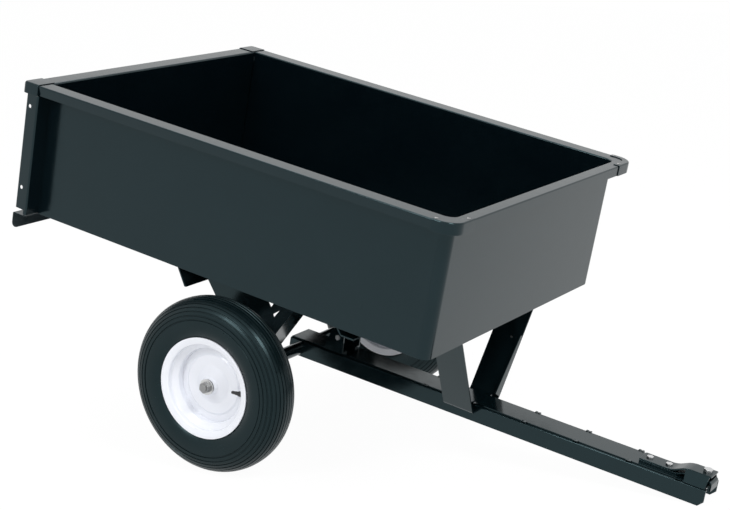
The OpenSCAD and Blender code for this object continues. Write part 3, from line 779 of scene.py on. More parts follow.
    def rivets(self) -> None:
        """Builds the four blind rivets that hold the front caps, each with a low dome and a hollow."""
        inset = self.cap_cover / 2
        heads = Blank()
        for side in Side:
            for x, y in ((self.rim_nose - self.cap_leg[0] + inset, self.rim_half - inset),
                         (self.rim_nose - inset, self.rim_half - self.cap_leg[1] + 2 * inset)):
                r, h = self.rivet_r, self.rivet_h
                head = Blank()
                head.turn([(0, 0), (r, 0), (r, 0.3 * h), (0.8 * r, 0.8 * h), (0.55 * r, h), (0.42 * r, 0.9 * h),
                           (0.38 * r, 0.35 * h), (0, 0.3 * h)], 24, closed=False)
                head.move(Matrix.Translation((x, side.value * y, self.top + self.cap))
                          @ Matrix.Rotation(math.pi / 2, 4, "X"))
                heads.join(head)
        heads.release("cap_rivet_heads", self.stance.box, self.zinc, Body.BOX, Slot.ZINC, ["cap_rivets"], edge=0)


@dataclass
class Tailgate:
    """The lifting tailgate with its rim and its two corner caps."""

    stance: Stance
    coat: PowderCoat
    face: float = -557.5
    back: float = -601.0
    half: float = 452.9
    rim_half: float = 455.0
    low: float = 244.1
    top: float = 560.0
    lip: float = 24.0
    side_fold: float = 9.0
    seam: float = 4.0
    sheet: float = 1.6
    bend: float = 3.0
    cap: float = 2.0
    cap_leg: float = 56.0
    cap_front: float = -558.0
    cap_gap: float = 0.15
    cap_lap: float = 1.0
    cap_tongue: float = 4.0
    cap_corner: float = 9.0
    cap_bend: float = 3.4

    def build(self) -> None:
        """Builds the gate and its caps."""
        self.panel()
        for side in Side:
            self.rear_cap(side)

    def panel(self) -> None:
        """Builds the gate: a skin with folded sides whose top turns back into a rim with a lip."""
        t = self.sheet
        x, under, inner = self.face - t, self.top - t, self.half - self.seam
        gate = Blank()
        gate.strip([(x, -inner, self.low), (x, -inner, under), (self.back + t, -inner, under),
                    (self.back + t, -inner, self.top - self.lip)], (0, 2 * inner, 0))
        gate.bend(self.bend)
        gate.thicken(t, (1, 0, 0))
        for side in Side:
            edge = Blank()
            edge.strip([(self.face, inner, self.low), (self.face, self.half, self.low),
                        (self.face - self.side_fold, self.half, self.low)],
                       (0, 0, self.top - self.lip - 4 - self.low))
            edge.bend(self.bend)
            edge.thicken(t, (0, -1, 0))
            gate.join(edge.hand(side))
        gate.release("tailgate_skin", self.stance.box, self.coat, Body.GATE, Slot.BOX_PAINT, ["tailgate"])

    def rear_cap(self, side: Side) -> None:
        """Builds a blocky cap over the end of the gate's rim, with a front face that reaches into the channel.

        Args:
            side: Side of the cart.
        """
        back, out, z = self.back - self.cap_gap, self.rim_half + self.cap_gap, self.top
        inner = self.rim_half - self.cap_leg
        cap = Blank()
        cap.plate([(self.cap_front, out, z), (back, out, z), (back, inner, z), (self.cap_front, inner, z)])
        cap.pull(cap.edges(lambda at: at.x < back + NEAR) + cap.edges(lambda at: at.y > out - NEAR),
                 (0, 0, -self.lip - self.cap_lap))
        cap.bend(self.cap_corner, lambda at: abs(at.z - z) > 1, 4)
        cap.bend(self.cap_bend, lambda at: abs(at.z - z) < NEAR, 3)
        cap.thicken(self.cap, (0, 0, 1))
        low, seam = z - self.lip - self.cap_lap, self.half - self.seam + 0.1
        face = Blank()
        face.plate([(self.cap_front, y, height) for y, height in (
            (seam, low - self.cap_tongue), (self.half, low - self.cap_tongue), (self.half, low), (out, low), (out, z),
            (seam, z))])
        face.thicken(self.sheet, (-1, 0, 0))
        cap.join(face)
        cap.hand(side).release(f"rear_{side.label}_corner_cap", self.stance.box, self.coat, Body.GATE,
                               Slot.BOX_PAINT, [f"rear_{side.label}_cap"], edge=0.6)


@dataclass
class Wheel:
    """A wheel: ribbed tyre, pressed rim with a dished disc, hub, bushes and valve.

    Profiles are (radius, distance outboard of the wheel's centre plane).
    """

    side: Side
    stance: Stance
    rubber: TyreRubber
    enamel: WheelEnamel
    stem: MouldedBlack
    bush: MouldedBlack
    centre: float = 399.0
    tyre_r: float = 205.0
    tyre_half: float = 51.0
    tyre_mid: float = 154.5
    bead: tuple[Point, ...] = ((104.3, 32.7), (104.3, 37.7), (118.3, 41.7))
    side_power: float = 2.7
    tread_power: float = 2.3
    groove_pitch: float = 9.6
    groove_count: int = 9
    groove_depth: float = 1.8
    groove_half: float = 1.7
    groove_flank: float = 0.7
    tread_steps: int = 240
    cavity: Point = (41.5, 42.0)
    rim_t: float = 3.0
    barrel_bend: float = 2.6
    disc_bend: float = 2.4
    barrel: tuple[Point, ...] = ((118, 45), (114, 45), (101, 41), (101, 30), (87, 19), (87, -19), (101, -30),
                                 (101, -41), (114, -45), (118, -45))
    disc: tuple[Point, ...] = ((88.4, 3), (72, 3), (69, 6), (44, 6), (20.5, 18))
    hub_r: float = 19.0
    hub_in: float = -38.0
    hub_out: float = 26.0
    collar: Point = (18.15, 21.15)
    bore_r: float = 11.7
    journal_r: float = 8.05
    flange_r: float = 17.0
    flange_t: float = 3.0
    bush_l: float = 20.0
    valve_r: float = 101.0
    valve_out: float = 26.0
    valve_lift: float = 8.0

    @property
    def body(self) -> Body:
        """Body of this wheel."""
        return Body.LEFT_WHEEL if self.side is Side.LEFT else Body.RIGHT_WHEEL

    def build(self) -> None:
        """Builds the tyre, the rim, the hub with its bushes, and the valve."""
        self.tyre()
        self.rim()
        self.hub()
        self.valve()

    def seat(self, blank: Blank, name: str, finish: Finish, slot: Slot, edge: float = 0.0) -> None:
        """Sets a blank of this wheel on the axle.

        Args:
            blank: The blank, in the frame of a left wheel.
            name: The node that it stands for, without its side.
            finish: Its finish.
            slot: Its material slot.
            edge: Width of its broken edges.
        """
        blank.move(Matrix.Translation((0, self.centre, 0))).hand(self.side)
        blank.release(f"{self.side.label}_{name}_turned", self.stance.bar, finish, self.body, slot,
                      [f"{self.side.label}_{name}"], edge)

    @staticmethod
    def swell(share: float, power: float) -> float:
        """Height of a rounded-off square of unit size at a share of its width."""
        return max(0.0, 1 - abs(share) ** power) ** (1 / power)

    def crown(self, angle: float) -> Vector:
        """Finds the point of the tread's smooth crown at an angle from the widest point.

        Args:
            angle: The angle in radians, a right angle at the middle of the tread.

        Returns:
            Its radius and its distance from the centre plane.
        """
        power = 2 / self.tread_power
        rise = (self.tyre_r - self.tyre_mid) * math.sin(angle) ** power
        return Vector((self.tyre_mid + rise, self.tyre_half * max(0.0, math.cos(angle)) ** power))

    def tread(self) -> list[Point]:
        """Draws one half of the tread from the widest point to the middle, with grooves at even steps of its arc.

        Returns:
            Points of the half profile.
        """
        steps = self.tread_steps
        arc = [self.crown(math.pi / 2 * k / steps) for k in range(steps + 1)]
        left = sum((b - a).length for a, b in zip(arc, arc[1:]))
        points: list[Point] = []
        for k in range(1, steps):
            left -= (arc[k] - arc[k - 1]).length
            groove = round(left / self.groove_pitch)
            off = abs(left - groove * self.groove_pitch) if groove < self.groove_count else self.groove_pitch
            if k % 6 and off > self.groove_half + self.groove_flank:
                continue
            depth = self.groove_depth * min(1.0, max(0.0, (self.groove_half - off) / self.groove_flank))
            run = (arc[k + 1] - arc[k - 1]).normalized()
            points.append((arc[k].x + run.y * depth, arc[k].y - run.x * depth))
        return points

    def tyre(self) -> None:
        """Builds the tyre from its beads over the sidewalls to the ribbed tread, hollow inside."""
        foot = self.bead[-1][0]
        wall = []
        for k in range(13):
            share = -(1 - k / 13) * (self.tyre_mid - foot) / (self.tyre_r - self.tyre_mid)
            wall.append((self.tyre_mid + share * (self.tyre_r - self.tyre_mid),
                         self.tyre_half * self.swell(share, self.side_power)))
        lower = math.pi - math.asin(self.bead[0][1] / self.cavity[1])
        hollow = [(self.tyre_mid + self.cavity[0] * math.cos(lower * k / 12),
                   self.cavity[1] * math.sin(lower * k / 12)) for k in range(13)]
        outer = [*self.bead, *wall, *self.tread()]
        half = outer + [(r, -y) for r, y in reversed(outer)]
        profile = half + [(r, -y) for r, y in reversed(hollow)] + hollow[1:]
        tyre = Blank()
        tyre.turn(profile, 128)
        self.seat(tyre, "tyre", self.rubber, Slot.TYRE)

    def rim(self) -> None:
        """Builds the rim: a drop-centre barrel and a dished disc, both pressed from sheet."""
        rim = Blank()
        rim.turn(self.barrel, 128, closed=False)
        rim.bend(self.barrel_bend, segments=4)
        rim.thicken_round(self.rim_t)
        disc = Blank()
        disc.turn(self.disc, 128, closed=False)
        disc.bend(self.disc_bend, segments=4)
        disc.thicken(self.rim_t, (0, -1, 0))
        self.seat(rim.join(disc), "rim", self.enamel, Slot.WHEEL_WHITE)

    def hub(self) -> None:
        """Builds the hub tube with its collar, and the flanged bushes in its ends."""
        lo, hi, r, bore = self.hub_in, self.hub_out, self.hub_r, self.bore_r
        tube = Blank()
        c0, c1 = self.collar
        tube.turn([(bore, lo), (r - 1, lo), (r, lo + 1), (r, c0), (r + self.rim_t - 0.6, c0),
                   (r + self.rim_t, c0 + 0.6), (r + self.rim_t - 1.2, c1 - 0.4), (r + 1.2, c1), (r, c1 + 1.4),
                   (r, hi - 1), (r - 1, hi), (bore, hi)], 64)
        self.seat(tube, "hub", self.enamel, Slot.WHEEL_WHITE)
        bushes = Blank()
        for end, way in ((lo, 1), (hi, -1)):
            part = Blank()
            inner, b = self.journal_r, bore - 0.2
            part.turn([(inner, end + way * self.bush_l), (inner, end - way * self.flange_t),
                       (self.flange_r - 0.6, end - way * self.flange_t),
                       (self.flange_r, end - way * (self.flange_t - 0.6)), (self.flange_r, end), (b, end),
                       (b, end + way * self.bush_l)], 48)
            bushes.join(part)
        self.seat(bushes, "bushes", self.bush, Slot.BUSH)

    def valve(self) -> None:
        """Builds the valve: a rubber foot, a tapered stem and a ribbed cap, pointing at the hub."""
        stem = Blank()
        stem.turn([(0, 0), (6.5, 0), (6.5, 8), (5.9, 15), (5.0, 16.2), (4.6, 17), (4.3, 24), (3.4, 24.8),
                   (3.6, 25.2), (3.6, 32.8), (2.8, 34), (0, 34)], 24, closed=False)
        stem.move(Matrix.Rotation(math.radians(-self.valve_lift), 4, "Y")
                  @ Matrix.Translation((self.valve_r, self.valve_out, 0)) @ Matrix.Rotation(math.pi / 2, 4, "Z"))
        self.seat(stem, "valve", self.stem, Slot.VALVE)


@dataclass
class Chassis:
    """The drawbar with its clips, the splayed stand, the ears and the two hitch plates."""

    stance: Stance
    coat: PowderCoat
    rear: float = -34.0
    front: float = 1058.0
    half: float = 41.0
    top: float = 19.0
    drop: float = 24.0
    wall: float = 3.0
    nose_cut: float = 12.0
    seam: float = 3.0
    seam_drop: float = 3.2
    seam_ledge: float = 6.0
    rear_turn: float = 16.0
    rear_bend: float = 3.4
    tab_x: tuple[float, ...] = (342.0, 473.0, 604.0, 735.0, 866.0, 985.0)
    tab_l: float = 13.0
    tab_h: float = 1.3
    tab_w: float = 8.0
    tab_t: float = 0.8
    leg_x: Point = (409.5, 486.5)
    leg_t: float = 4.0
    leg_foot: Point = (63.5, 15.04)
    leg_head: Point = (188.0, 233.5)
    leg_tab: float = 44.0
    leg_bend: float = 5.0
    leg_upright: float = 219.5
    leg_lean: float = 1.95
    leg_edge: Point = (24.0, 9.0)
    leg_edge_shares: Point = (0.02, 0.63)
    ear_x: Point = (63.0, 116.0)
    ear_h: float = 58.0
    ear_t: float = 4.0
    ear_foot: float = 18.0
    ear_tips: Point = (0.95, 0.3)
    ear_corner: float = 7.0
    ear_hole: float = 0.66
    ear_hole_r: float = 4.3
    hitch_x: Place = (890.0, 978.0, 1062.0)
    hitch_half: float = 21.0
    hitch_t: float = 4.0
    jaw: float = 26.0
    roof: float = 39.0
    ramp: float = 20.0
    nose_drop: float = 22.0
    jaw_bend: float = 3.0
    swing_bend: float = 11.0
    swing: Point = (966.0, 1000.0)
    cheek_x: Place = (1004.0, 998.0, 1054.0)

    def build(self) -> None:
        """Builds the drawbar, the stand's legs, the ears and the hitch plates."""
        self.drawbar()
        for side in Side:
            self.leg(side)
        self.ears()
        self.lower_jaw()
        self.upper_jaw()

    def drawbar(self) -> None:
        """Builds the drawbar: two folded flanks with cut noses, the top laid on them, and the clips."""
        bar = Blank()
        x0, x1, low, inner = self.rear, self.front, -self.drop, self.half - self.wall - self.seam
        bar.strip([(x1 - self.hitch_t, -inner, self.top), (x0, -inner, self.top),
                   (x0, -inner, self.top - self.rear_turn)], (0, 2 * inner, 0))
        bar.bend(self.rear_bend)
        bar.thicken(self.wall, (0, 0, -1))
        for side in Side:
            flank = Blank()
            high = self.top - self.seam_drop
            flank.strip([(x0, self.half, low), (x0, self.half, high), (x0, inner - self.seam_ledge, high)],
                        (x1 - x0, 0, 0))
            flank.round_corners([(x1, self.half, low)], self.nose_cut, 1)
            flank.bend(self.wall)
            flank.thicken(self.wall, (0, -1, -1))
            for x in self.tab_x:
                flank.join(self.clip(x))
            bar.join(flank.hand(side))
        bar.release("drawbar_channel", self.stance.bar, self.coat, Body.CHASSIS, Slot.FRAME_PAINT, ["drawbar"], 0.5)

    def clip(self, x: float) -> Blank:
        """Makes one of the clips that close the seam on top of a flank: two low crests with a dip between.

        Args:
            x: Rear end of the clip.

        Returns:
            The clip, on the left flank.
        """
        clip = Blank()
        y0, y1, rise = self.half - self.tab_w, self.half, self.tab_h
        third = self.tab_l / 3
        foot = self.top - self.seam_drop - rise
        clip.strip([(x, y0, foot), (x, y0, self.top + rise), (x + third, y0, self.top + rise),
                    (x + 1.3 * third, y0, self.top + 0.3 * rise), (x + 1.7 * third, y0, self.top + 0.3 * rise),
                    (x + 2 * third, y0, self.top + rise), (x + 3 * third, y0, self.top + rise),
                    (x + 3 * third, y0, foot)], (0, y1 - y0, 0))
        clip.thicken(self.tab_t, (0, 0, -1))
        return clip

    def leg(self, side: Side) -> None:
        """Builds a leg of the stand, splayed from the drawbar to the crossbar and leaning forward below it.

        Args:
            side: Side of the cart; the left leg's front edge and the right leg's rear edge are folded in.
        """
        x0, x1 = self.leg_x
        foot, top = Vector((x0, *self.leg_foot)), Vector((x0, *self.leg_head))
        run = top - foot
        leg, edge = Blank(), Blank()
        leg.strip([(x0, self.half, foot.z), foot, top, (x0, top.y - self.leg_tab, top.z)], (x1 - x0, 0, 0))
        leg.bend(self.leg_bend)
        leg.thicken(self.leg_t, (0, run.z, -run.y))
        inward = Vector((0, -run.z, run.y)).normalized()
        low, high = (foot + run * share for share in self.leg_edge_shares)
        deep, slim = (inward * depth for depth in self.leg_edge)
        edge.plate([low - inward * 2, low + deep, high + slim, high - inward * 2])
        edge.thicken(self.leg_t, (1, 0, 0))
        if side is Side.LEFT:
            edge.move(Matrix.Translation((x1 - x0 - self.leg_t, 0, 0)))
        leg.join(edge)
        leg.slit((0, 0, self.leg_upright), (0, 0, 1))
        for vert in leg.bm.verts:
            vert.co.x += max(0.0, self.leg_upright - vert.co.z) * math.tan(math.radians(self.leg_lean))
        leg.hand(side).release(f"{side.label}_leg_of_stand", self.stance.box, self.coat, Body.CHASSIS,
                               Slot.FRAME_PAINT, [f"{side.label}_stand_leg"], edge=0.6)

    def ears(self) -> None:
        """Builds the two upright ears ahead of the axle, each with a turned-in foot and rounded top corners."""
        x0, x1 = self.ear_x
        span, z0, z1 = x1 - x0, self.top, self.top + self.ear_h
        y = self.half - self.ear_t
        tips = [(x0 + share * span, y, z1) for share in self.ear_tips]
        pair = Blank()
        for side in Side:
            ear = Blank()
            ear.plate([(x0, y, z0), (x1, y, z0), *tips])
            hole = Vector((x0 + span * self.ear_hole, y, z0 + self.ear_h * self.ear_hole))
            ear.punch(hole, Vector((0, 1, 0)), self.ear_hole_r)
            ear.round_corners(tips, self.ear_corner)
            ear.thicken(self.ear_t, (0, 1, 0))
            foot = Blank()
            foot.plate([(x0, y - self.ear_foot, z0), (x1, y - self.ear_foot, z0), (x1, y, z0), (x0, y, z0)])
            foot.thicken(self.ear_t, (0, 0, 1))
            pair.join(ear.join(foot).hand(side))
        pair.release("ears_on_drawbar", self.stance.bar, self.coat, Body.CHASSIS, Slot.FRAME_PAINT,
                     ["drawbar_ears"], edge=0.6)

    def lower_jaw(self) -> None:
        """Builds the lower hitch plate: a strap that steps up to the jaw and turns down at its nose."""
        x0, bend, x1 = self.hitch_x
        t, h = self.hitch_t, self.hitch_half
        jaw = Blank()
        jaw.strip([(x0, -h, self.top), (bend, -h, self.top), (bend + self.ramp, -h, self.jaw),
                   (x1 - t, -h, self.jaw), (x1 - t, -h, self.jaw + t - self.nose_drop)], (0, 2 * h, 0))
        jaw.bend(self.jaw_bend)
        jaw.thicken(t, (0, 0, 1))
        jaw.release("lower_jaw", self.stance.bar, self.coat, Body.CHASSIS, Slot.FRAME_PAINT,
                    ["hitch_lower_plate"], edge=0.6)

    def upper_jaw(self) -> None:
        """Builds the upper hitch plate: a strap that swings up to a roof whose cheeks slope to the drawbar."""
        x0, _, x1 = self.hitch_x
        t, h = self.hitch_t, self.hitch_half
        low, high = self.swing
        jaw = Blank()
        jaw.strip([(x0, -h, self.top + t), (low, -h, self.top + t), (high, -h, self.roof), (x1 - t, -h, self.roof)],
                  (0, 2 * h, 0))
        jaw.bend(self.swing_bend, segments=10)
        jaw.thicken(t, (0, 0, 1))
        foot, rear, front = self.cheek_x
        for side in Side:
            cheek = Blank()
            cheek.plate([(foot, self.half, self.top - 1), (front, self.half, self.top - 1), (front, h, self.roof + 2),
                         (rear, h, self.roof + 2)])
            cheek.thicken(t, (0, -1, -1))
            jaw.join(cheek.hand(side))
        jaw.release("upper_jaw", self.stance.bar, self.coat, Body.CHASSIS, Slot.FRAME_PAINT,
                    ["hitch_upper_plate"], edge=0.6)


@dataclass
class Fasteners:
    """Bolts, nuts, washers and the hitch pin, all plated."""

    stance: Stance
    zinc: ZincPlate
    dull: ZincPlate
    bolt_r: float = 4.0
    head: float = 0.7
    nut: float = 0.85
    hexagon: float = 1.65
    chamfer: float = 0.28
    leg_bolt_at: Place = (464.0, 137.0, 144.0)
    leg_bolt_way: Place = (0.0, -0.869, 0.495)
    leg_bolt_r: float = 2.8
    leg_bolt_chamfer: float = 0.5
    hitch_x: tuple[float, ...] = (953.36, 907.6)
    hitch_r: float = 5.0
    hitch_z: float = 27.0
    hitch_grip: float = 11.0
    ear_at: Point = (97.98, 57.28)
    ear_half: float = 41.0
    journal: float = 8.0
    nut_y: float = 430.8
    nut_h: float = 10.0
    nut_r: float = 13.4
    nut_chamfer: float = 2.0
    axle_end: float = 444.0
    washer_r: float = 18.4
    washer_t: float = 2.0
    washer_y: tuple[float, ...] = (355.2, 428.8)
    pin_x: float = 1041.84
    pin_r: float = 6.3
    pin_low: float = 2.0
    pin_seat: float = 43.0
    pin_head: Place = (11.0, 7.0, 2.2)

    def build(self) -> None:
        """Builds every plated fastener that shows."""
        self.leg_bolt()
        self.hitch_bolts()
        self.ear_bolt()
        self.axle_ends()
        self.pin()

    def bolt(self, radius: float, grip: float) -> Blank:
        """Makes a bolt along Z, with its head on z = 0 and its nut under z = -grip.

        Args:
            radius: Radius of the shank.
            grip: Thickness of what it holds.

        Returns:
            The bolt.
        """
        nut_h, head_h = radius * self.nut, radius * self.head
        bolt, nut = Blank(), Blank()
        bolt.hexagon(radius * self.hexagon, head_h, self.chamfer * radius)
        bolt.rod(radius, -grip - nut_h - head_h, 0.0)
        nut.hexagon(radius * self.hexagon, nut_h, self.chamfer * radius)
        nut.move(Matrix.Translation((0, 0, -grip)) @ Matrix.Rotation(math.pi, 4, "X"))
        return bolt.join(nut)

    def leg_bolt(self) -> None:
        """Builds the small bolt head on the inner face of the left leg."""
        head = Blank()
        head.hexagon(self.leg_bolt_r, self.head * self.leg_bolt_r, self.leg_bolt_chamfer)
        turn = Vector(self.leg_bolt_way).to_track_quat("Z", "Y").to_matrix().to_4x4()
        head.move(Matrix.Translation(self.leg_bolt_at) @ turn)
        head.release("bolt_of_left_leg", self.stance.box, self.dull, Body.CHASSIS, Slot.ZINC, [], 0.2)

    def hitch_bolts(self) -> None:
        """Builds the two bolts through the hitch plates."""
        every = Blank()
        for x in self.hitch_x:
            every.join(self.bolt(self.hitch_r, self.hitch_grip).move(Matrix.Translation((x, 0, self.hitch_z))))
        every.release("bolts_of_hitch", self.stance.bar, self.zinc, Body.CHASSIS, Slot.ZINC, ["hitch_bolts"], 0.3)

    def ear_bolt(self) -> None:
        """Builds the bolt that ties the two ears."""
        x, z = self.ear_at
        bolt = self.bolt(self.bolt_r, 2 * self.ear_half)
        bolt.move(Matrix.Translation((x, -self.ear_half, z)) @ Matrix.Rotation(math.pi / 2, 4, "X"))
        bolt.release("bolt_of_ears", self.stance.bar, self.zinc, Body.CHASSIS, Slot.ZINC, ["ear_bolt"], 0.25)

    def axle_ends(self) -> None:
        """Builds the washers beside the hubs and the nuts on the axle's ends."""
        washers, nuts = Blank(), Blank()
        bore, r, t = self.journal + 0.15, self.washer_r, self.washer_t
        for side in Side:
            for y in self.washer_y:
                washer = Blank()
                washer.turn([(bore, y), (r - 0.4, y), (r, y + 0.4), (r, y + t - 0.4), (r - 0.4, y + t), (bore, y + t)],
                            48)
                washers.join(washer.hand(side))
            nut = Blank()
            nut.hexagon(self.nut_r, self.nut_h, self.nut_chamfer)
            nut.punch(Vector((0, 0, self.nut_h)), Vector((0, 0, 1)), self.journal + 0.1, 8)
            nut.move(Matrix.Translation((0, self.nut_y, 0)) @ Matrix.Rotation(-math.pi / 2, 4, "X"))
            nuts.join(nut.hand(side))
            tip = Blank()
            tip.turn([(0, self.axle_end), (self.journal - 1.0, self.axle_end), (bore, self.axle_end - 1.2),
                      (bore, self.nut_y + self.nut_h - 1.0)], 32, closed=False)
            nuts.join(tip.hand(side))
        washers.release("washers_of_wheels", self.stance.bar, self.zinc, Body.CHASSIS, Slot.ZINC,
                        ["wheel_washers"], 0)
        nuts.release("nuts_of_axle", self.stance.bar, self.dull, Body.CHASSIS, Slot.ZINC, ["axle_nuts"], 0.3)

    def pin(self) -> None:
        """Builds the hitch pin with its hexagonal head and its rounded tip."""
        pin, shank = Blank(), Blank()
        pin.hexagon(*self.pin_head)
        pin.move(Matrix.Translation((0, 0, self.pin_seat)))
        low, high = self.pin_low, self.pin_seat
        shank.turn([(0, low), (self.pin_r - 2.4, low), (self.pin_r - 0.7, low + 0.8), (self.pin_r, low + 2.6),
                    (self.pin_r, high), (0, high)], 40, closed=False)
        shank.move(Matrix.Rotation(math.pi / 2, 4, "X"))
        pin.join(shank).move(Matrix.Translation((self.pin_x, 0, 0)))
        pin.release("pin_of_hitch", self.stance.bar, self.zinc, Body.PIN, Slot.ZINC, ["hitch_pin"], 0.4)


@dataclass
class Underframe:
    """Brackets, rails and rods under the box, which keep the shape of their nodes with broken edges."""

    nodes: dict[str, bpy.types.Object]
    coat: PowderCoat
    zinc: ZincPlate
    box_parts: tuple[str, ...] = ("left_axle_bracket", "right_axle_bracket", "left_outrigger", "right_outrigger",
                                  "front_cross_member")
    chassis_parts: tuple[str, ...] = ("axle", "axle_spacers", "stand_crossbar")
    plated: tuple[tuple[str, Body], ...] = (("bracket_bolts", Body.BOX), ("crossbar_bolts", Body.CHASSIS))
    edge: float = 0.6

    def build(self) -> None:
        """Breaks the edges of each part and paints or plates it."""
        for name in self.box_parts:
            self.soften(name, Body.BOX, self.coat, Slot.FRAME_PAINT)
        for name in self.chassis_parts:
            self.soften(name, Body.CHASSIS, self.coat, Slot.FRAME_PAINT)
        for name, body in self.plated:
            self.soften(name, body, self.zinc, Slot.ZINC)

    def soften(self, name: str, body: Body, finish: Finish, slot: Slot) -> None:
        """Makes a copy of a node with merged faces and broken edges.

        Args:
            name: The node.
            body: Body that it rides on.
            finish: Its finish.
            slot: Its material slot.
        """
        copy = Blank()
        copy.bm.from_mesh(self.nodes[name].data)
        bmesh.ops.remove_doubles(copy.bm, verts=copy.bm.verts, dist=1e-6)
        bmesh.ops.dissolve_limit(copy.bm, angle_limit=math.radians(0.5), verts=copy.bm.verts, edges=copy.bm.edges)
        copy.release(f"{name}_softened", Matrix.Identity(4), finish, body, slot, [name], self.edge)


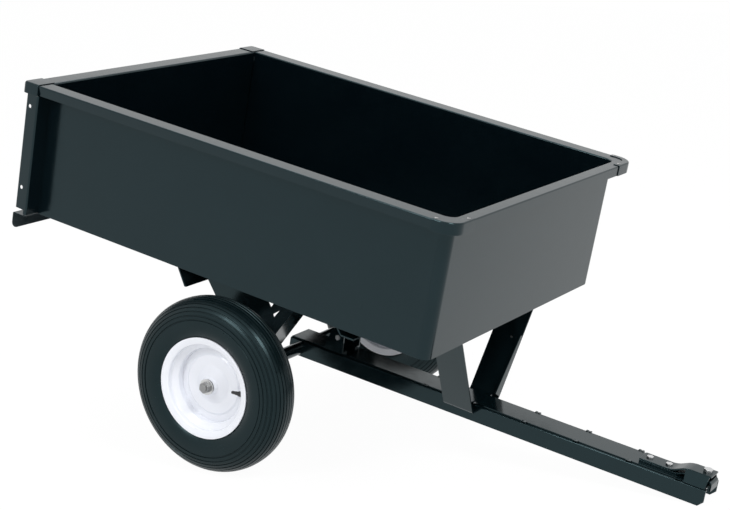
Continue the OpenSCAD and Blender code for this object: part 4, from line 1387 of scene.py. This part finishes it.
@dataclass
class Studio:
    """Pale floor, soft light and the camera.

    The camera is given in the box's level frame: its place in millimetres, and its azimuth, elevation and roll in
    degrees.
    """

    stance: Stance
    eye: Place = (1987.9, -3436.2, 1560.4)
    azimuth: float = 28.674
    elevation: float = 18.279
    roll: float = 9.87
    focal: float = 1727.185
    image_w: float = 730.0
    sensor: float = 36.0
    floor_size: float = 24.0
    floor_tone: float = 0.85
    glow_share: float = 0.95
    glow_strength: float = 1.02
    world_light: float = 0.62
    lamp_aim: Place = (0.0, 0.0, 0.4)
    lamps: tuple[tuple[str, Place, float, float], ...] = (("key", (2.4, -1.3, 3.2), 1.1, 60.0),
                                                          ("fill", (-0.6, -3.5, 2.8), 1.1, 50.0),
                                                          ("top", (-0.8, 0.9, 3.2), 2.0, 30.0))

    def build(self) -> None:
        """Builds the floor, the surroundings, the lamps and the camera."""
        bpy.context.scene.view_settings.view_transform = "Standard"
        self.floor()
        self.surroundings()
        for lamp in self.lamps:
            self.lamp(*lamp)
        self.camera()

    def floor(self) -> None:
        """Lays a plain pale floor that is white where it is seen or mirrored, and keeps some of the shadow."""
        half = self.floor_size / 2
        blank = Blank()
        blank.plate([(-half, -half, 0), (half, -half, 0), (half, half, 0), (-half, half, 0)])
        mesh = bpy.data.meshes.new("studio_floor")
        blank.bm.to_mesh(mesh)
        blank.bm.free()
        bench = NodeBench("pale_floor")
        tone = self.floor_tone
        bench.set(Base_Color=(tone, tone, tone, 1.0), Roughness=0.95, Specular_IOR_Level=0.0)
        glow = bench.add("ShaderNodeEmission")
        glow.inputs["Color"].default_value = (1.0, 1.0, 1.0, 1.0)
        glow.inputs["Strength"].default_value = self.glow_strength
        share = bench.add("ShaderNodeMath", operation="MULTIPLY")
        share.inputs[1].default_value = self.glow_share
        bench.join(self.plain_rays(bench.tree), share.inputs[0])
        blend = bench.add("ShaderNodeMixShader")
        bench.join(share.outputs[0], blend.inputs["Fac"])
        bench.join(bench.shader.outputs["BSDF"], blend.inputs[1])
        bench.join(glow.outputs["Emission"], blend.inputs[2])
        out = next(node for node in bench.tree.nodes if node.type == "OUTPUT_MATERIAL")
        bench.join(blend.outputs["Shader"], out.inputs["Surface"])
        mesh.materials.append(bench.material)
        floor = bpy.data.objects.new("studio_floor", mesh)
        bpy.context.scene.collection.objects.link(floor)

    @staticmethod
    def plain_rays(tree: bpy.types.NodeTree) -> bpy.types.NodeSocket:
        """Picks the rays that see or mirror the surroundings.

        Args:
            tree: The nodes to add to.

        Returns:
            1 for camera, glossy and transmission rays, 0 for the others.
        """
        path = tree.nodes.new("ShaderNodeLightPath")
        total = path.outputs["Is Camera Ray"]
        for extra in ("Is Glossy Ray", "Is Transmission Ray"):
            add = tree.nodes.new("ShaderNodeMath")
            add.operation = "MAXIMUM"
            tree.links.new(total, add.inputs[0])
            tree.links.new(path.outputs[extra], add.inputs[1])
            total = add.outputs[0]
        return total

    def surroundings(self) -> None:
        """Surrounds the cart with white that is full strength where it is seen or mirrored."""
        world = bpy.data.worlds.new("studio_white")
        bpy.context.scene.world = world
        world.use_nodes = True
        tree = world.node_tree
        tree.nodes.clear()
        seen = tree.nodes.new("ShaderNodeBackground")
        lit = tree.nodes.new("ShaderNodeBackground")
        for node, strength in ((seen, 1.0), (lit, self.world_light)):
            node.inputs["Color"].default_value = (1.0, 1.0, 1.0, 1.0)
            node.inputs["Strength"].default_value = strength
        blend = tree.nodes.new("ShaderNodeMixShader")
        tree.links.new(self.plain_rays(tree), blend.inputs["Fac"])
        tree.links.new(lit.outputs["Background"], blend.inputs[1])
        tree.links.new(seen.outputs["Background"], blend.inputs[2])
        tree.links.new(blend.outputs["Shader"], tree.nodes.new("ShaderNodeOutputWorld").inputs["Surface"])

    def lamp(self, name: str, place: Place, size: float, power: float) -> None:
        """Hangs a square soft lamp that faces the cart.

        Args:
            name: Name of the lamp.
            place: Its place in metres.
            size: Length of its sides in metres.
            power: Its power in watts.
        """
        light = bpy.data.lights.new(name, "AREA")
        light.shape = "SQUARE"
        light.size = size
        light.energy = power
        lamp = bpy.data.objects.new(name, light)
        lamp.location = place
        lamp.rotation_euler = (Vector(self.lamp_aim) - Vector(place)).to_track_quat("-Z", "Y").to_euler()
        bpy.context.scene.collection.objects.link(lamp)

    def camera(self) -> None:
        """Sets up the camera at the photograph's angle."""
        az, el, roll = (math.radians(angle) for angle in (self.azimuth, self.elevation, self.roll))
        back = Vector((math.sin(az) * math.cos(el), -math.cos(az) * math.cos(el), math.sin(el)))
        right = Vector((math.cos(az), math.sin(az), 0))
        up = back.cross(right)
        across = right * math.cos(roll) + up * math.sin(roll)
        upward = up * math.cos(roll) - right * math.sin(roll)
        turn = self.stance.box.to_3x3().normalized() @ Matrix((across, upward, back)).transposed()
        lens = bpy.data.cameras.new("camera")
        lens.sensor_fit = "HORIZONTAL"
        lens.sensor_width = self.sensor
        lens.lens = self.focal / self.image_w * self.sensor
        camera = bpy.data.objects.new("camera", lens)
        camera.matrix_world = Matrix.Translation(self.stance.box @ Vector(self.eye)) @ turn.to_4x4()
        bpy.context.scene.collection.objects.link(camera)
        bpy.context.scene.camera = camera


def main() -> None:
    """Loads the frame and dresses it, one sub-assembly after the other."""
    logging.basicConfig(level=logging.INFO, format="%(name)s %(message)s")
    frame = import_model()
    stance = Stance.from_joints(frame["joints"])
    box_coat = PowderCoat("box_powder_coat", (0.0010, 0.0036, 0.0052), (0.0016, 0.0046, 0.0064), 0.18)
    frame_coat = PowderCoat("frame_powder_coat", (0.0016, 0.0050, 0.0064), (0.0024, 0.0066, 0.0082), 0.15)
    zinc = ZincPlate("zinc_plate", (0.56, 0.57, 0.58), (0.72, 0.72, 0.71), 0.30)
    dull = ZincPlate("dull_zinc_plate", (0.24, 0.245, 0.25), (0.38, 0.38, 0.375), 0.36)
    rubber = TyreRubber("tyre_rubber", (0.0020, 0.0055, 0.0067), (0.0030, 0.0073, 0.0088), 0.30, axle=stance.axle)
    enamel = WheelEnamel("wheel_enamel", (0.81, 0.83, 0.885), (0.84, 0.86, 0.915), 0.20)
    stem = MouldedBlack("valve_stem_rubber", (0.010, 0.010, 0.011), (0.016, 0.016, 0.017), 0.55)
    bush = MouldedBlack("bush_plastic", (0.030, 0.030, 0.032), (0.042, 0.042, 0.044), 0.50)
    LoadBox(stance, box_coat, dull).build()
    Tailgate(stance, box_coat).build()
    for side in Side:
        Wheel(side, stance, rubber, enamel, stem, bush).build()
    Chassis(stance, frame_coat).build()
    Fasteners(stance, zinc, dull).build()
    Underframe(frame["nodes"], frame_coat, zinc).build()
    Studio(stance).build()


if __name__ == "__main__":
    main()
